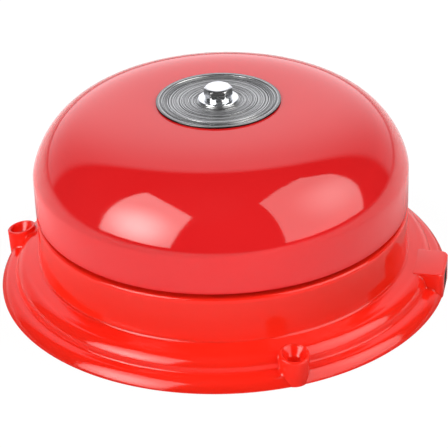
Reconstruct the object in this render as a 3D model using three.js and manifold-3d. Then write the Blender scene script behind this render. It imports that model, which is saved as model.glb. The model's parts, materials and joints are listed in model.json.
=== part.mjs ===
// Wall-mounted fire alarm bell: a 150 mm gong over a stepped round base, struck from inside by a
// solenoid-driven striker. Millimetres, +Z points away from the wall, z = 0 is the wall face,
// the origin is on the gong's axis. The cable outlet is on +X, the striker works towards -X.
import * as THREE from 'three';
import { mergeVertices } from 'three/addons/utils/BufferGeometryUtils.js';
import loadManifold from 'manifold-3d';

const manifold = await loadManifold();
manifold.setup();

const { degToRad } = THREE.MathUtils;

// ---------- dimensions shared between sections ----------
// Names ending in _R are radii, _T thicknesses, _X, _Y and _Z places on that axis.
const SHELL_SEGMENTS = 48; // facets round the large turned shells

const GONG_R = 75;
const GONG_TOP_Z = 76.6;

const LEDGE_Z = 31.3; // ledge under the gong rim
const LEDGE_UNDER_Z = 27.6;
const CORE_TOP_Z = 62.0; // roof of the inner drum
const CORE_UNDER_Z = 59.5;

const PLATE_Z = 50.0; // wall-side face of the mechanism plate
const PLATE_T = 2.0;
const PLATE_TOP_Z = PLATE_Z + PLATE_T;
const PLATE_FIXINGS = [[1, 1], [1, -1], [-1, 1], [-1, -1]].map(([x, y]) => [x * 37.5, y * 20]);

const AXIS_Z = 37.5; // striker axis height
const YOKE_FIXING_X = -24;
const YOKE_FIXING_Y = 8;

const CONTACT_Y = 19;
const CONTACT_FIXING_X = 26;

const TERMINAL_X = 64;
const TERMINAL_Y = 6.6; // each side of y = 0
const TERMINAL_Z = 18.5; // height of the wire entries

// ---------- solid helpers ----------
// One closed body: shared corners merged, collapsed triangles dropped, faces turned outwards.
function closed(geometry) {
  const bare = geometry.clone();
  for (const name of Object.keys(bare.attributes)) {
    if (name !== 'position') bare.deleteAttribute(name);
  }
  const merged = mergeVertices(bare, 1e-4);
  const positions = merged.attributes.position;
  const source = merged.index.array;
  const kept = [];
  for (let i = 0; i < source.length; i += 3) {
    const [a, b, c] = source.slice(i, i + 3);
    if (a !== b && b !== c && c !== a) kept.push(a, b, c);
  }
  const corners = [new THREE.Vector3(), new THREE.Vector3(), new THREE.Vector3()];
  let volume = 0;
  for (let i = 0; i < kept.length; i += 3) {
    corners.forEach((corner, j) => corner.fromBufferAttribute(positions, kept[i + j]));
    volume += corners[0].dot(corners[1].cross(corners[2]));
  }
  if (volume < 0) {
    for (let i = 0; i < kept.length; i += 3) {
      [kept[i + 1], kept[i + 2]] = [kept[i + 2], kept[i + 1]];
    }
  }
  return indexed(positions.array, kept);
}

function indexed(positions, index) {
  const geometry = new THREE.BufferGeometry();
  geometry.setAttribute('position', new THREE.BufferAttribute(new Float32Array(positions), 3));
  geometry.setIndex(index);
  return geometry;
}

function solid(geometry) {
  const body = closed(geometry);
  return new manifold.Manifold(
    new manifold.Mesh({
      numProp: 3,
      vertProperties: new Float32Array(body.attributes.position.array),
      triVerts: new Uint32Array(body.index.array),
    }),
  );
}

function geometryOf(body) {
  const mesh = body.getMesh();
  return indexed(mesh.vertProperties, Array.from(mesh.triVerts));
}

// union and subtract give solids; join and cut give geometries.
const union = (parts) => parts.map(solid).reduce((whole, part) => whole.add(part));
const subtract = (body, tools) =>
  tools.map(solid).reduce((rest, tool) => rest.subtract(tool), body);
const join = (...parts) => geometryOf(union(parts));
const cut = (geometry, ...tools) => geometryOf(subtract(solid(geometry), tools));

// ---------- shape helpers ----------
// Turned body about +Z from a list of [radius, height], closed here if it is off the axis.
function lathe(profile, segments) {
  const points = profile.map(([radius, z]) => new THREE.Vector2(radius, z));
  const onAxis = points[0].x === 0 && points[points.length - 1].x === 0;
  if (!onAxis) points.push(points[0].clone());
  return closed(new THREE.LatheGeometry(points, segments).rotateX(Math.PI / 2));
}

const block = (x0, x1, y0, y1, z0, z1) =>
  new THREE.BoxGeometry(x1 - x0, y1 - y0, z1 - z0)
    .translate((x0 + x1) / 2, (y0 + y1) / 2, (z0 + z1) / 2);

// Round bar along Z through (x, y), or along X through (y, z).
const barZ = (radius, x, y, z0, z1, segments = 16) =>
  new THREE.CylinderGeometry(radius, radius, z1 - z0, segments)
    .rotateX(Math.PI / 2)
    .translate(x, y, (z0 + z1) / 2);
const barX = (radius, y, z, x0, x1, segments = 16) =>
  new THREE.CylinderGeometry(radius, radius, x1 - x0, segments)
    .rotateZ(Math.PI / 2)
    .translate((x0 + x1) / 2, y, z);

// Ring about Z, standing on z = 0.
const ring = (innerR, outerR, height, segments = 16) =>
  lathe([[innerR, 0], [outerR, 0], [outerR, height], [innerR, height]], segments);

function hexPrism(acrossFlats, height) {
  const cornerR = acrossFlats / Math.sqrt(3);
  return new THREE.CylinderGeometry(cornerR, cornerR, height, 6)
    .rotateX(Math.PI / 2)
    .translate(0, 0, height / 2);
}

// Closed outline (THREE.Shape) or hole (THREE.Path) from a list of [x, y].
function outline(points, Kind = THREE.Shape) {
  const path = new Kind(points.map(([x, y]) => new THREE.Vector2(x, y)));
  path.closePath();
  return path;
}

// Corners of a regular polygon; turn is 1 anticlockwise, -1 clockwise.
const polygon = (x, y, radius, sides, turn = 1) =>
  Array.from({ length: sides }, (_, i) => {
    const angle = (turn * 2 * Math.PI * i) / sides;
    return [x + radius * Math.cos(angle), y + radius * Math.sin(angle)];
  });

const sweep = (path, radius, steps, sides) =>
  closed(
    new THREE.ExtrudeGeometry(outline(polygon(0, 0, radius, sides)), {
      steps,
      bevelEnabled: false,
      extrudePath: path,
    }),
  );

// Cheese-head screw: head on z = 0 facing +Z, shank running down to -length, with a driver slot.
function screw({ headR, headH, shankR, length, slot = 0.9 }) {
  const body = lathe([
    [0, -length], [shankR, -length], [shankR, 0], [headR, 0],
    [headR, headH * 0.75], [headR * 0.82, headH], [0, headH],
  ], 10);
  const reach = headR + 1;
  return cut(body, block(-reach, reach, -slot / 2, slot / 2, headH * 0.5, headH + 1));
}

// ---------- materials ----------
// Each call of a finish makes a new material, so every mesh has its own.
const finish = (settings) => () => new THREE.MeshStandardMaterial(settings);
const redGong = finish({ color: 0xd92026, metalness: 0.1, roughness: 0.16 });
const redBase = finish({ color: 0xe0301f, metalness: 0, roughness: 0.24 });
const spunAluminium = finish({ color: 0x8f9194, metalness: 1, roughness: 0.38 });
const zinc = finish({ color: 0xc4c7c9, metalness: 1, roughness: 0.26 });
const steel = finish({ color: 0xa9acae, metalness: 1, roughness: 0.32 });
const brass = finish({ color: 0xc9a14e, metalness: 1, roughness: 0.3 });
const copper = finish({ color: 0xb5622b, metalness: 0.85, roughness: 0.34 });
const nylon = finish({ color: 0xe9e6dc, metalness: 0, roughness: 0.45 });
const blackPlastic = finish({ color: 0x1d1e20, metalness: 0, roughness: 0.5 });
const phenolic = finish({ color: 0x4a2c1d, metalness: 0, roughness: 0.42 });
const rubber = finish({ color: 0x18181a, metalness: 0, roughness: 0.8 });
const tape = finish({ color: 0xd9b13b, metalness: 0, roughness: 0.4 });
const fibre = finish({ color: 0x8c2f22, metalness: 0, roughness: 0.75 });
const blueInsulation = finish({ color: 0x2f5fa8, metalness: 0, roughness: 0.45 });
const brownInsulation = finish({ color: 0x6e3f22, metalness: 0, roughness: 0.45 });

// ---------- scene graph ----------
const bell = new THREE.Group();
const housing = new THREE.Group();
const gongStack = new THREE.Group(); // on the gong's axis
const mechanism = new THREE.Group();
const solenoid = new THREE.Group(); // its +Z runs along the striker axis, towards +X
solenoid.position.set(0, 0, AXIS_Z);
solenoid.rotation.y = Math.PI / 2;
const contacts = new THREE.Group();
const wiring = new THREE.Group();
mechanism.add(solenoid, contacts);
bell.add(housing, gongStack, mechanism, wiring);

const ALONG_X = [0, Math.PI / 2, 0]; // turns a piece's +Z to +X
const facingWall = (spin) => [Math.PI, 0, spin]; // turns a piece's +Z to -Z

function piece(parent, name, geometry, material, position = [0, 0, 0], rotation = [0, 0, 0]) {
  const mesh = new THREE.Mesh(closed(geometry), material());
  mesh.geometry.computeVertexNormals();
  mesh.name = name;
  mesh.position.set(...position);
  mesh.rotation.set(...rotation);
  parent.add(mesh);
}

// ---------- base housing ----------
const BASE_R = 91.2; // flange
const WALL_R = GONG_R; // drum wall
const WALL_IN_R = 72.2;
const CORE_R = 58.0; // inner drum inside the gong
const CORE_IN_R = 55.5;

const LUG_PITCH_R = 86.6; // circle through the fixing lugs
const LUG_ANGLES = [180, -60, 60];
const LUG_TOP_Z = 11.8;
const LUG_TOP_R = 5.8;
const LUG_FOOT_R = 5.3;
const LUG_TILT = 11; // degrees, top face falls outwards
const LUG_HOLE_R = 2.6;
const LUG_SINK_R = 4.6;

const TAB_X = BASE_R; // cable outlet tab, level with the flange edge
const TAB_ROOT_X = 76.2;
const TAB_Y = 10.0; // half width
const TAB_CORNER_R = 3.0;
const TAB_Z = 11.2;
const TAB_WALL = 2.4;
const TAB_ROOF = 1.4;
const CABLE_Z = 4.7; // height of the cable hole's axis
const CABLE_HOLE_R = 3.9;
const GROMMET_SEAT_R = 4.35;
const GROMMET_SEAT_X = TAB_X - 0.5;

const PILLAR_R = 4.2; // pillars between the core roof and the mechanism plate
const SCREW_HOLE_R = 1.7;

// Rounded step from flange to drum, a quarter ellipse started at 5 degrees.
const FLANGE_STEP = Array.from({ length: 4 }, (_, i) => {
  const angle = degToRad(5 + ((90 - 5) * i) / 3);
  return [80.0 + 4.9 * Math.cos(angle), 5.3 + 5.7 * Math.sin(angle)];
});

// [radius, z]: flange, drum wall, ledge, inner drum, then back along the inside.
const BASE_PROFILE = [
  [86.5, 0], [BASE_R, 0], [BASE_R - 0.1, 0.6], [90.1, 2.5], [88.8, 3.98], [87.2, 4.62], [85.3, 4.9],
  ...FLANGE_STEP,
  [76.7, 11.9], [WALL_R, 13.2], [WALL_R, LEDGE_Z - 0.7], [74.2, LEDGE_Z],
  [CORE_R, LEDGE_Z], [CORE_R, CORE_TOP_Z], [5.1, CORE_TOP_Z],
  [5.1, CORE_UNDER_Z], [CORE_IN_R, CORE_UNDER_Z], [CORE_IN_R, LEDGE_UNDER_Z],
  [WALL_IN_R, LEDGE_UNDER_Z], [WALL_IN_R, 10.0], [79.0, 8.3], [82.6, 3.6], [86.5, 2.2],
];

// [radius, z] before the top is tilted.
const LUG_PROFILE = [
  [0, 0], [LUG_FOOT_R, 0], [LUG_TOP_R, LUG_TOP_Z - 0.4], [LUG_TOP_R - 0.5, LUG_TOP_Z],
  [0, LUG_TOP_Z],
];
const LUG_HOLE_PROFILE = [
  [0, -1], [LUG_HOLE_R, -1], [LUG_HOLE_R, LUG_TOP_Z - 3.6], [LUG_SINK_R, LUG_TOP_Z],
  [LUG_SINK_R, LUG_TOP_Z + 3], [0, LUG_TOP_Z + 3],
];

// Turned solid sheared to follow the tilted top face, then moved out to its lug.
function atLug(profile, angle) {
  const geometry = lathe(profile, 16);
  const vertices = geometry.attributes.position;
  const slope = Math.tan(degToRad(LUG_TILT));
  for (let i = 0; i < vertices.count; i++) {
    const z = vertices.getZ(i);
    vertices.setZ(i, z - (Math.max(z, 0) / LUG_TOP_Z) * vertices.getX(i) * slope);
  }
  return geometry.translate(LUG_PITCH_R, 0, 0).rotateZ(degToRad(angle));
}

function tabBody() {
  const corner = (side, angles) =>
    angles.map(degToRad).map((angle) => [
      TAB_X - TAB_CORNER_R * (1 - Math.cos(angle)),
      side * (TAB_Y - TAB_CORNER_R * (1 - Math.sin(angle))),
    ]);
  const shape = outline([
    [TAB_ROOT_X, -TAB_Y],
    ...corner(-1, [90, 60, 30, 0]),
    ...corner(1, [0, 30, 60, 90]),
    [TAB_ROOT_X, TAB_Y],
  ]);
  return new THREE.ExtrudeGeometry(shape, { depth: TAB_Z, bevelEnabled: false });
}

function baseHousing() {
  const channelY = TAB_Y - TAB_WALL;
  const body = union([
    lathe(BASE_PROFILE, SHELL_SEGMENTS),
    ...LUG_ANGLES.map((angle) => atLug(LUG_PROFILE, angle)),
    tabBody(),
    ...PLATE_FIXINGS.map(([x, y]) => barZ(PILLAR_R, x, y, PLATE_TOP_Z, CORE_UNDER_Z + 1, 14)),
  ]);
  return geometryOf(subtract(body, [
    ...LUG_ANGLES.map((angle) => atLug(LUG_HOLE_PROFILE, angle)),
    ...PLATE_FIXINGS.map(([x, y]) => barZ(SCREW_HOLE_R, x, y, PLATE_TOP_Z - 1, 58.5, 10)),
    block(70, TAB_X - TAB_WALL, -channelY, channelY, -1, TAB_Z - TAB_ROOF), // cable channel
    barX(CABLE_HOLE_R, 0, CABLE_Z, TAB_X - 4, TAB_X + 2, 20),
    barX(GROMMET_SEAT_R, 0, CABLE_Z, GROMMET_SEAT_X, TAB_X + 2, 20),
    block(-60, -53, -6.5, 6.5, 31.8, 44), // striker window
    // terminal block fixing
    barZ(SCREW_HOLE_R, TERMINAL_X, 0, LEDGE_UNDER_Z - 1, LEDGE_Z - 0.9, 10),
  ]));
}
piece(housing, 'base_housing', baseHousing(), redBase);

// [radius, distance out from the seat]
const GROMMET_PROFILE = [
  [2.95, -2.9], [4.2, -2.9], [4.2, -2.0], [3.55, -2.0], [3.55, 0.02],
  [4.2, 0.02], [4.2, 0.3], [3.95, 0.48], [2.95, 0.48],
];
const grommet = lathe(GROMMET_PROFILE, 18);
piece(housing, 'cable_grommet', grommet, rubber, [GROMMET_SEAT_X, 0, CABLE_Z], ALONG_X);

// ---------- gong ----------
const GONG_WALL = 1.6;
const GONG_IN_R = GONG_R - GONG_WALL;
const GONG_UNDER_Z = GONG_TOP_Z - GONG_WALL;
const GONG_RIM_Z = 33.2;
const GONG_SHOULDER_Z = 48.75; // top of the straight skirt
const GONG_HOLE_R = 3.6;
const DOME_RADIUS_POWER = 5.43; // superellipse exponents of the dome
const DOME_HEIGHT_POWER = 1.374;

// Dome points [radius, z] at the given radii.
const dome = (edgeR, topZ, radii) =>
  radii.map((radius) => {
    const fall = Math.max(0, 1 - Math.pow(radius / edgeR, DOME_RADIUS_POWER));
    const rise = (topZ - GONG_SHOULDER_Z) * Math.pow(fall, 1 / DOME_HEIGHT_POWER);
    return [radius, GONG_SHOULDER_Z + rise];
  });

const GONG_PROFILE = [
  [GONG_HOLE_R, GONG_TOP_Z],
  ...dome(GONG_R, GONG_TOP_Z, [24.8, 40, 50, 57.5, 63.5, 68, 71.2, 73.3, 74.5]),
  [GONG_R, GONG_SHOULDER_Z], [GONG_R, GONG_RIM_Z + 0.4], [GONG_R - 0.4, GONG_RIM_Z],
  [GONG_IN_R, GONG_RIM_Z], [GONG_IN_R, GONG_SHOULDER_Z],
  ...dome(GONG_IN_R, GONG_UNDER_Z, [72.4, 69.5, 65.5, 59.5, 51, 39, 24]),
  [11, GONG_UNDER_Z], [GONG_HOLE_R, GONG_UNDER_Z],
];
piece(gongStack, 'gong', lathe(GONG_PROFILE, SHELL_SEGMENTS), redGong);

// ---------- clamping stack above the gong ----------
const DISC_R = 24.6;
const DISC_T = 0.6;
const WASHER_T = 1.0;
const LOCK_WASHER_T = 0.9;
const WASHER_Z = GONG_TOP_Z + DISC_T;
const LOCK_WASHER_Z = WASHER_Z + WASHER_T;
const BOLT_HEAD_Z = LOCK_WASHER_Z + LOCK_WASHER_T;
const BOLT_FLATS = 10; // M6 hexagon head across flats
const BOLT_HEAD_H = 3.9;

// Flat disc with a raised bead round its edge.
const gongDisc = lathe([
  [3.5, 0], [DISC_R, 0], [DISC_R, 0.5], [DISC_R - 0.4, 0.8], [DISC_R - 1.2, 0.8],
  [DISC_R - 1.5, DISC_T], [3.5, DISC_T],
], 32);
piece(gongStack, 'gong_disc', gongDisc, spunAluminium, [0, 0, GONG_TOP_Z]);
piece(gongStack, 'gong_washer', ring(3.4, 8.0, WASHER_T, 24), zinc, [0, 0, WASHER_Z]);
piece(gongStack, 'gong_lock_washer', ring(3.3, 5.3, LOCK_WASHER_T), zinc, [0, 0, LOCK_WASHER_Z]);

// Hexagon head with chamfered corners, shank down into the gong post.
function gongBolt() {
  const topZ = BOLT_HEAD_H + 0.02;
  const chamfer = lathe([
    [0, -1], [7, -1], [7, BOLT_HEAD_H - 1.1], [BOLT_FLATS / 2 - 0.1, topZ], [0, topZ],
  ], 24);
  const head = solid(hexPrism(BOLT_FLATS, BOLT_HEAD_H)).intersect(solid(chamfer));
  const shank = lathe([[0, -19.5], [2.4, -19.5], [2.95, -18.9], [2.95, 0.4], [0, 0.4]], 14);
  return geometryOf(head.add(solid(shank)));
}
piece(gongStack, 'gong_bolt', gongBolt(), zinc, [0, 0, BOLT_HEAD_Z]);

// ---------- post that carries the gong ----------
const CUSHION_T = 1.2;
const POST_TOP_Z = GONG_UNDER_Z - CUSHION_T;
const POST_WASHER_Z = CORE_UNDER_Z - 1.4;
const POST_NUT_H = 4.6;

const cushion = ring(3.4, 9.0, CUSHION_T, 18);
piece(gongStack, 'gong_cushion_washer', cushion, fibre, [0, 0, POST_TOP_Z]);
const gongPost = lathe([
  [3.35, 52.4], [4.3, 52.4], [4.7, 52.8], [4.7, CORE_TOP_Z], [9, CORE_TOP_Z],
  [9, 64.4], [8.4, 65], [6.5, 65], [6.5, POST_TOP_Z], [3.35, POST_TOP_Z],
], 18);
piece(gongStack, 'gong_post', gongPost, steel);
const postWasher = ring(5.0, 10.0, CORE_UNDER_Z - POST_WASHER_Z, 18);
piece(gongStack, 'post_washer', postWasher, zinc, [0, 0, POST_WASHER_Z]);
const postNut = cut(hexPrism(17, POST_NUT_H), barZ(5.0, 0, 0, -1, 6, 18));
piece(gongStack, 'post_nut', postNut, zinc, [0, 0, POST_WASHER_Z - POST_NUT_H]);

// ---------- mechanism plate ----------
const FLANGE_X = -48; // outer face of the flange turned towards the wall
const FLANGE_Y = 9;
const PLATE_X = 42;
const PLATE_Y = 32;
const PLATE_CORNER_X = PLATE_X - 7;
const PLATE_CORNER_Y = PLATE_Y - 7;

// [x, y]
const PLATE_OUTLINE = [
  [FLANGE_X, -FLANGE_Y], [-PLATE_X, -FLANGE_Y],
  [-PLATE_X, -PLATE_CORNER_Y], [-PLATE_CORNER_X, -PLATE_Y],
  [PLATE_CORNER_X, -PLATE_Y], [PLATE_X, -PLATE_CORNER_Y],
  [PLATE_X, PLATE_CORNER_Y], [PLATE_CORNER_X, PLATE_Y],
  [-PLATE_CORNER_X, PLATE_Y], [-PLATE_X, PLATE_CORNER_Y],
  [-PLATE_X, FLANGE_Y], [FLANGE_X, FLANGE_Y],
];
// [x, y, radius, sides]
const PLATE_HOLES = [
  ...PLATE_FIXINGS.map(([x, y]) => [x, y, 1.9, 10]),
  [YOKE_FIXING_X, YOKE_FIXING_Y, 1.7, 10],
  [YOKE_FIXING_X, -YOKE_FIXING_Y, 1.7, 10],
  [CONTACT_FIXING_X, CONTACT_Y, 1.7, 10],
  [14, -20, 6, 14],
];

function mechanismPlate() {
  const shape = outline(PLATE_OUTLINE);
  shape.holes = PLATE_HOLES.map((hole) => outline(polygon(...hole, -1), THREE.Path));
  const sheet = new THREE.ExtrudeGeometry(shape, { depth: PLATE_T, bevelEnabled: false })
    .translate(0, 0, PLATE_Z);
  const flange = block(FLANGE_X, FLANGE_X + PLATE_T, -FLANGE_Y, FLANGE_Y, 30, PLATE_Z + 1);
  const bushHole = barX(3.4, 0, AXIS_Z, -50, -44);
  return geometryOf(subtract(union([sheet, flange]), [bushHole]));
}
piece(mechanism, 'mechanism_plate', mechanismPlate(), zinc);

PLATE_FIXINGS.forEach(([x, y], i) => {
  const plateScrew = screw({ headR: 3.3, headH: 2.2, shankR: 1.35, length: 7.6 });
  const name = `plate_screw_${i + 1}`;
  piece(mechanism, name, plateScrew, zinc, [x, y, PLATE_Z], facingWall(0.5 * i));
});

const guideBush = lathe([[1.85, -2], [4.6, -2], [4.6, 0], [3.1, 0], [3.1, 3], [1.85, 3]], 14);
piece(mechanism, 'rod_guide_bush', guideBush, brass, [FLANGE_X, 0, AXIS_Z], ALONG_X);

// ---------- solenoid yoke ----------
const YOKE_X0 = -36.75;
const YOKE_X1 = 4.75;
const YOKE_T = 2.5;
const YOKE_Y = 13;
const YOKE_FOOT_Z = 27.5; // wall-side ends of the cheeks

function yokeFrame() {
  const frame = join(
    block(YOKE_X0, YOKE_X1, -YOKE_Y, YOKE_Y, PLATE_Z - YOKE_T, PLATE_Z),
    block(YOKE_X0, YOKE_X0 + YOKE_T, -YOKE_Y, YOKE_Y, YOKE_FOOT_Z, PLATE_Z - 1),
    block(YOKE_X1 - YOKE_T, YOKE_X1, -YOKE_Y, YOKE_Y, YOKE_FOOT_Z, PLATE_Z - 1),
  );
  const screwHoles = [1, -1].map((side) =>
    barZ(1.6, YOKE_FIXING_X, YOKE_FIXING_Y * side, PLATE_Z - YOKE_T - 1, PLATE_Z + 1, 10),
  );
  return cut(
    frame,
    barX(5.0, 0, AXIS_Z, YOKE_X0 - 1, YOKE_X0 + YOKE_T + 1, 20),
    barX(6.0, 0, AXIS_Z, YOKE_X1 - YOKE_T - 1, YOKE_X1 + 1, 20),
    ...screwHoles,
  );
}
piece(mechanism, 'yoke_frame', yokeFrame(), zinc);

const yokeBar = block(YOKE_X0, YOKE_X1, 2 - YOKE_Y, YOKE_Y - 2, YOKE_FOOT_Z - YOKE_T, YOKE_FOOT_Z);
piece(mechanism, 'yoke_bar', yokeBar, zinc);
[1, -1].forEach((side, i) => {
  const yokeScrew = screw({ headR: 2.9, headH: 1.8, shankR: 1.25, length: 4.2 });
  const place = [YOKE_FIXING_X, YOKE_FIXING_Y * side, PLATE_TOP_Z];
  piece(mechanism, `yoke_screw_${i + 1}`, yokeScrew, zinc, place, [0, 0, 0.7 * side]);
});

// ---------- coil ----------
// Profiles in the solenoid group are [radius, x of the whole bell].
const BOBBIN_X0 = YOKE_X0 + YOKE_T + 0.05;
const BOBBIN_X1 = YOKE_X1 - YOKE_T - 0.05;
const BOBBIN_FLANGE = 1.4;
const WINDING_INSET = BOBBIN_FLANGE + 0.1;
const WINDING_LENGTH = BOBBIN_X1 - BOBBIN_X0 - 2 * WINDING_INSET;
const WRAP_LENGTH = 18;

const bobbin = lathe([
  [5.9, BOBBIN_X0], [9.7, BOBBIN_X0],
  [9.7, BOBBIN_X0 + BOBBIN_FLANGE], [6.9, BOBBIN_X0 + BOBBIN_FLANGE],
  [6.9, BOBBIN_X1 - BOBBIN_FLANGE], [9.7, BOBBIN_X1 - BOBBIN_FLANGE],
  [9.7, BOBBIN_X1], [5.9, BOBBIN_X1],
], 20);
piece(solenoid, 'coil_bobbin', bobbin, blackPlastic);
const winding = ring(7.05, 8.9, WINDING_LENGTH, 20);
piece(solenoid, 'coil_winding', winding, copper, [0, 0, BOBBIN_X0 + WINDING_INSET]);
const wrapX = (BOBBIN_X0 + BOBBIN_X1 - WRAP_LENGTH) / 2;
piece(solenoid, 'coil_wrap', ring(9.2, 9.5, WRAP_LENGTH, 20), tape, [0, 0, wrapX]);
piece(solenoid, 'guide_tube', ring(4.85, 5.6, 41.0), brass, [0, 0, -34.1]);
const polePiece = lathe([
  [1.95, -38.3], [6.6, -38.3], [6.6, -36.8], [4.5, -36.8], [4.5, -22], [1.95, -22],
], 16);
piece(solenoid, 'pole_piece', polePiece, steel);

// ---------- striker ----------
// Plunger, push rod, tip, spring collar, clip and actuator arm move as one body.
const TIP_X = -68.2; // striking face at rest
const ROD_X = -64.8;
const PLUNGER_X0 = -16.4;
const PLUNGER_X1 = 19;
const GROOVE_X = 15.6; // clip groove in the plunger
const COLLAR_X = 14.1;

const plunger = lathe([
  [0, PLUNGER_X0], [4.0, PLUNGER_X0], [4.4, -16.0], [4.4, GROOVE_X], [3.5, GROOVE_X],
  [3.5, 16.6], [4.4, 16.6], [4.4, 18.6], [4.0, PLUNGER_X1], [0, PLUNGER_X1],
], 16);
piece(solenoid, 'plunger', plunger, steel);
const pushRod = lathe([[0, ROD_X], [1.5, ROD_X], [1.5, PLUNGER_X0], [0, PLUNGER_X0]], 12);
piece(solenoid, 'push_rod', pushRod, steel);
const strikerTip = lathe([
  [0, TIP_X], [2.2, TIP_X], [3.5, TIP_X + 0.7], [4.0, TIP_X + 2.0], [4.0, -60.8],
  [3.4, -60], [1.85, -60], [1.85, ROD_X - 0.1], [0, ROD_X - 0.1],
], 14);
piece(solenoid, 'striker_tip', strikerTip, nylon);
piece(solenoid, 'spring_collar', ring(4.8, 8.3, 1.4, 18), zinc, [0, 0, COLLAR_X]);
const clip = cut(ring(3.85, 6.2, 0.8), block(-8, 0, -2.2, 2.2, -1, 2));
piece(solenoid, 'plunger_clip', clip, steel, [0, 0, GROOVE_X + 0.05]);

const armCap = lathe([[0, 0], [5.4, 0], [5.4, 2.8], [4.8, 3.4], [0, 3.4]], 16)
  .rotateY(Math.PI / 2)
  .translate(PLUNGER_X1 + 0.05, 0, AXIS_Z);
const armFinger = block(19.5, 22.0, 3.0, 12.5, AXIS_Z - 1.6, AXIS_Z + 1.6);
piece(mechanism, 'actuator_arm', join(armCap, armFinger), nylon);

// ---------- return spring ----------
const SPRING_INSET = 0.55; // wire centre to yoke, and to collar

class Helix extends THREE.Curve {
  constructor({ radius, length, turns }) {
    super();
    Object.assign(this, { radius, length, turns });
  }

  getPoint(t, target = new THREE.Vector3()) {
    const angle = 2 * Math.PI * this.turns * t;
    // the pitch tightens towards both ends
    const along = t * t * (3 - 2 * t) * 0.5 + t * 0.5;
    return target.set(
      this.length * along,
      this.radius * Math.cos(angle),
      this.radius * Math.sin(angle),
    );
  }
}
const springPath = new Helix({
  radius: 7.2,
  length: COLLAR_X - YOKE_X1 - 2 * SPRING_INSET,
  turns: 4.5,
});
const spring = sweep(springPath, 0.45, 50, 5);
piece(mechanism, 'return_spring', spring, steel, [YOKE_X1 + SPRING_INSET, 0, AXIS_Z]);

// ---------- interrupter contacts ----------
const LEAF_X = 19.0;
const LEAF_HALF_T = 0.2;
const LEAF_ROOT_Y = 28.0;
const LEAF_SCREW_Y = 30.0;
const CARRIER_X = 18.3;
const BLOCK_X = 33; // +X face of the contact block
const BLOCK_Y = 31.6;

const contactBlock = cut(
  join(
    block(19.4, BLOCK_X, LEAF_ROOT_Y - 1.5, BLOCK_Y, 33, PLATE_Z),
    block(24, BLOCK_X, 14, LEAF_ROOT_Y, 33, PLATE_Z),
  ),
  barX(2.05, CONTACT_Y, AXIS_Z, 22, 35),
  barZ(1.6, CONTACT_FIXING_X, CONTACT_Y, 43, PLATE_Z + 1, 10),
  barX(1.3, LEAF_SCREW_Y, AXIS_Z, 18, 26, 10),
);
piece(contacts, 'contact_block', contactBlock, phenolic);
const blockScrew = screw({ headR: 2.9, headH: 1.8, shankR: 1.25, length: 8.0 });
const blockScrewPlace = [CONTACT_FIXING_X, CONTACT_Y, PLATE_TOP_Z];
piece(contacts, 'contact_block_screw', blockScrew, zinc, blockScrewPlace, [0, 0, 0.3]);

const carrier = cut(
  block(CARRIER_X, CARRIER_X + 1, LEAF_ROOT_Y + 0.1, BLOCK_Y, 30, 42),
  barX(1.3, LEAF_SCREW_Y, AXIS_Z, 17, 21, 10),
);
piece(contacts, 'leaf_carrier', carrier, brass);
const carrierScrew = screw({ headR: 1.5, headH: 1.3, shankR: 0.95, length: 6.0, slot: 0.6 });
const carrierScrewPlace = [CARRIER_X, LEAF_SCREW_Y, AXIS_Z];
piece(contacts, 'leaf_carrier_screw', carrierScrew, brass, carrierScrewPlace, [0, -Math.PI / 2, 0]);

const leafFace = LEAF_X + LEAF_HALF_T;
const leaf = block(LEAF_X - LEAF_HALF_T, leafFace, 9.6, LEAF_ROOT_Y - 0.1, 34.2, 40.8);
piece(contacts, 'contact_leaf', leaf, copper);
const leafContact = lathe([[0, 0], [1.9, 0], [1.9, 0.4], [1.5, 0.65], [0, 0.65]], 14);
piece(contacts, 'leaf_contact', leafContact, zinc, [leafFace, CONTACT_Y, AXIS_Z], ALONG_X);

// [radius, x]
const CONTACT_SCREW_PROFILE = [
  [0, 20.0], [1.2, 20.0], [1.7, 20.6], [1.7, 38], [3.8, 38], [3.8, 41], [3.4, 41.6], [0, 41.6],
];
const contactScrew = cut(lathe(CONTACT_SCREW_PROFILE, 14), block(-5, 5, -0.5, 0.5, 40.4, 43));
piece(contacts, 'contact_screw', contactScrew, brass, [0, CONTACT_Y, AXIS_Z], ALONG_X);
const lockNut = cut(hexPrism(7, 2.6), barZ(2.05, 0, 0, -1, 4));
piece(contacts, 'contact_lock_nut', lockNut, brass, [BLOCK_X, CONTACT_Y, AXIS_Z], ALONG_X);

// ---------- terminals ----------
const TERMINAL_BLOCK_X = 57.5; // face towards the axis
const TERMINAL_BLOCK_Z = 15; // face towards the wall
const POCKET = 4; // half width of a clamp pocket
const CLAMP = 3.7; // half width of a clamp
const CLAMP_Z = TERMINAL_Z - 3;

function terminalBlock() {
  const sides = [TERMINAL_Y, -TERMINAL_Y];
  return cut(
    block(TERMINAL_BLOCK_X, 70, -13, 13, TERMINAL_BLOCK_Z, LEDGE_UNDER_Z),
    ...sides.map((y) =>
      block(TERMINAL_X - POCKET, TERMINAL_X + POCKET, y - POCKET, y + POCKET, 13, 21.5),
    ),
    ...sides.map((y) => barX(1.5, y, TERMINAL_Z, 56, 61, 10)),
    ...sides.map((y) => barX(1.7, y, TERMINAL_Z, 67, 72, 10)),
    barZ(1.7, TERMINAL_X, 0, 13, 29, 10),
  );
}
piece(wiring, 'terminal_block', terminalBlock(), blackPlastic);

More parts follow.
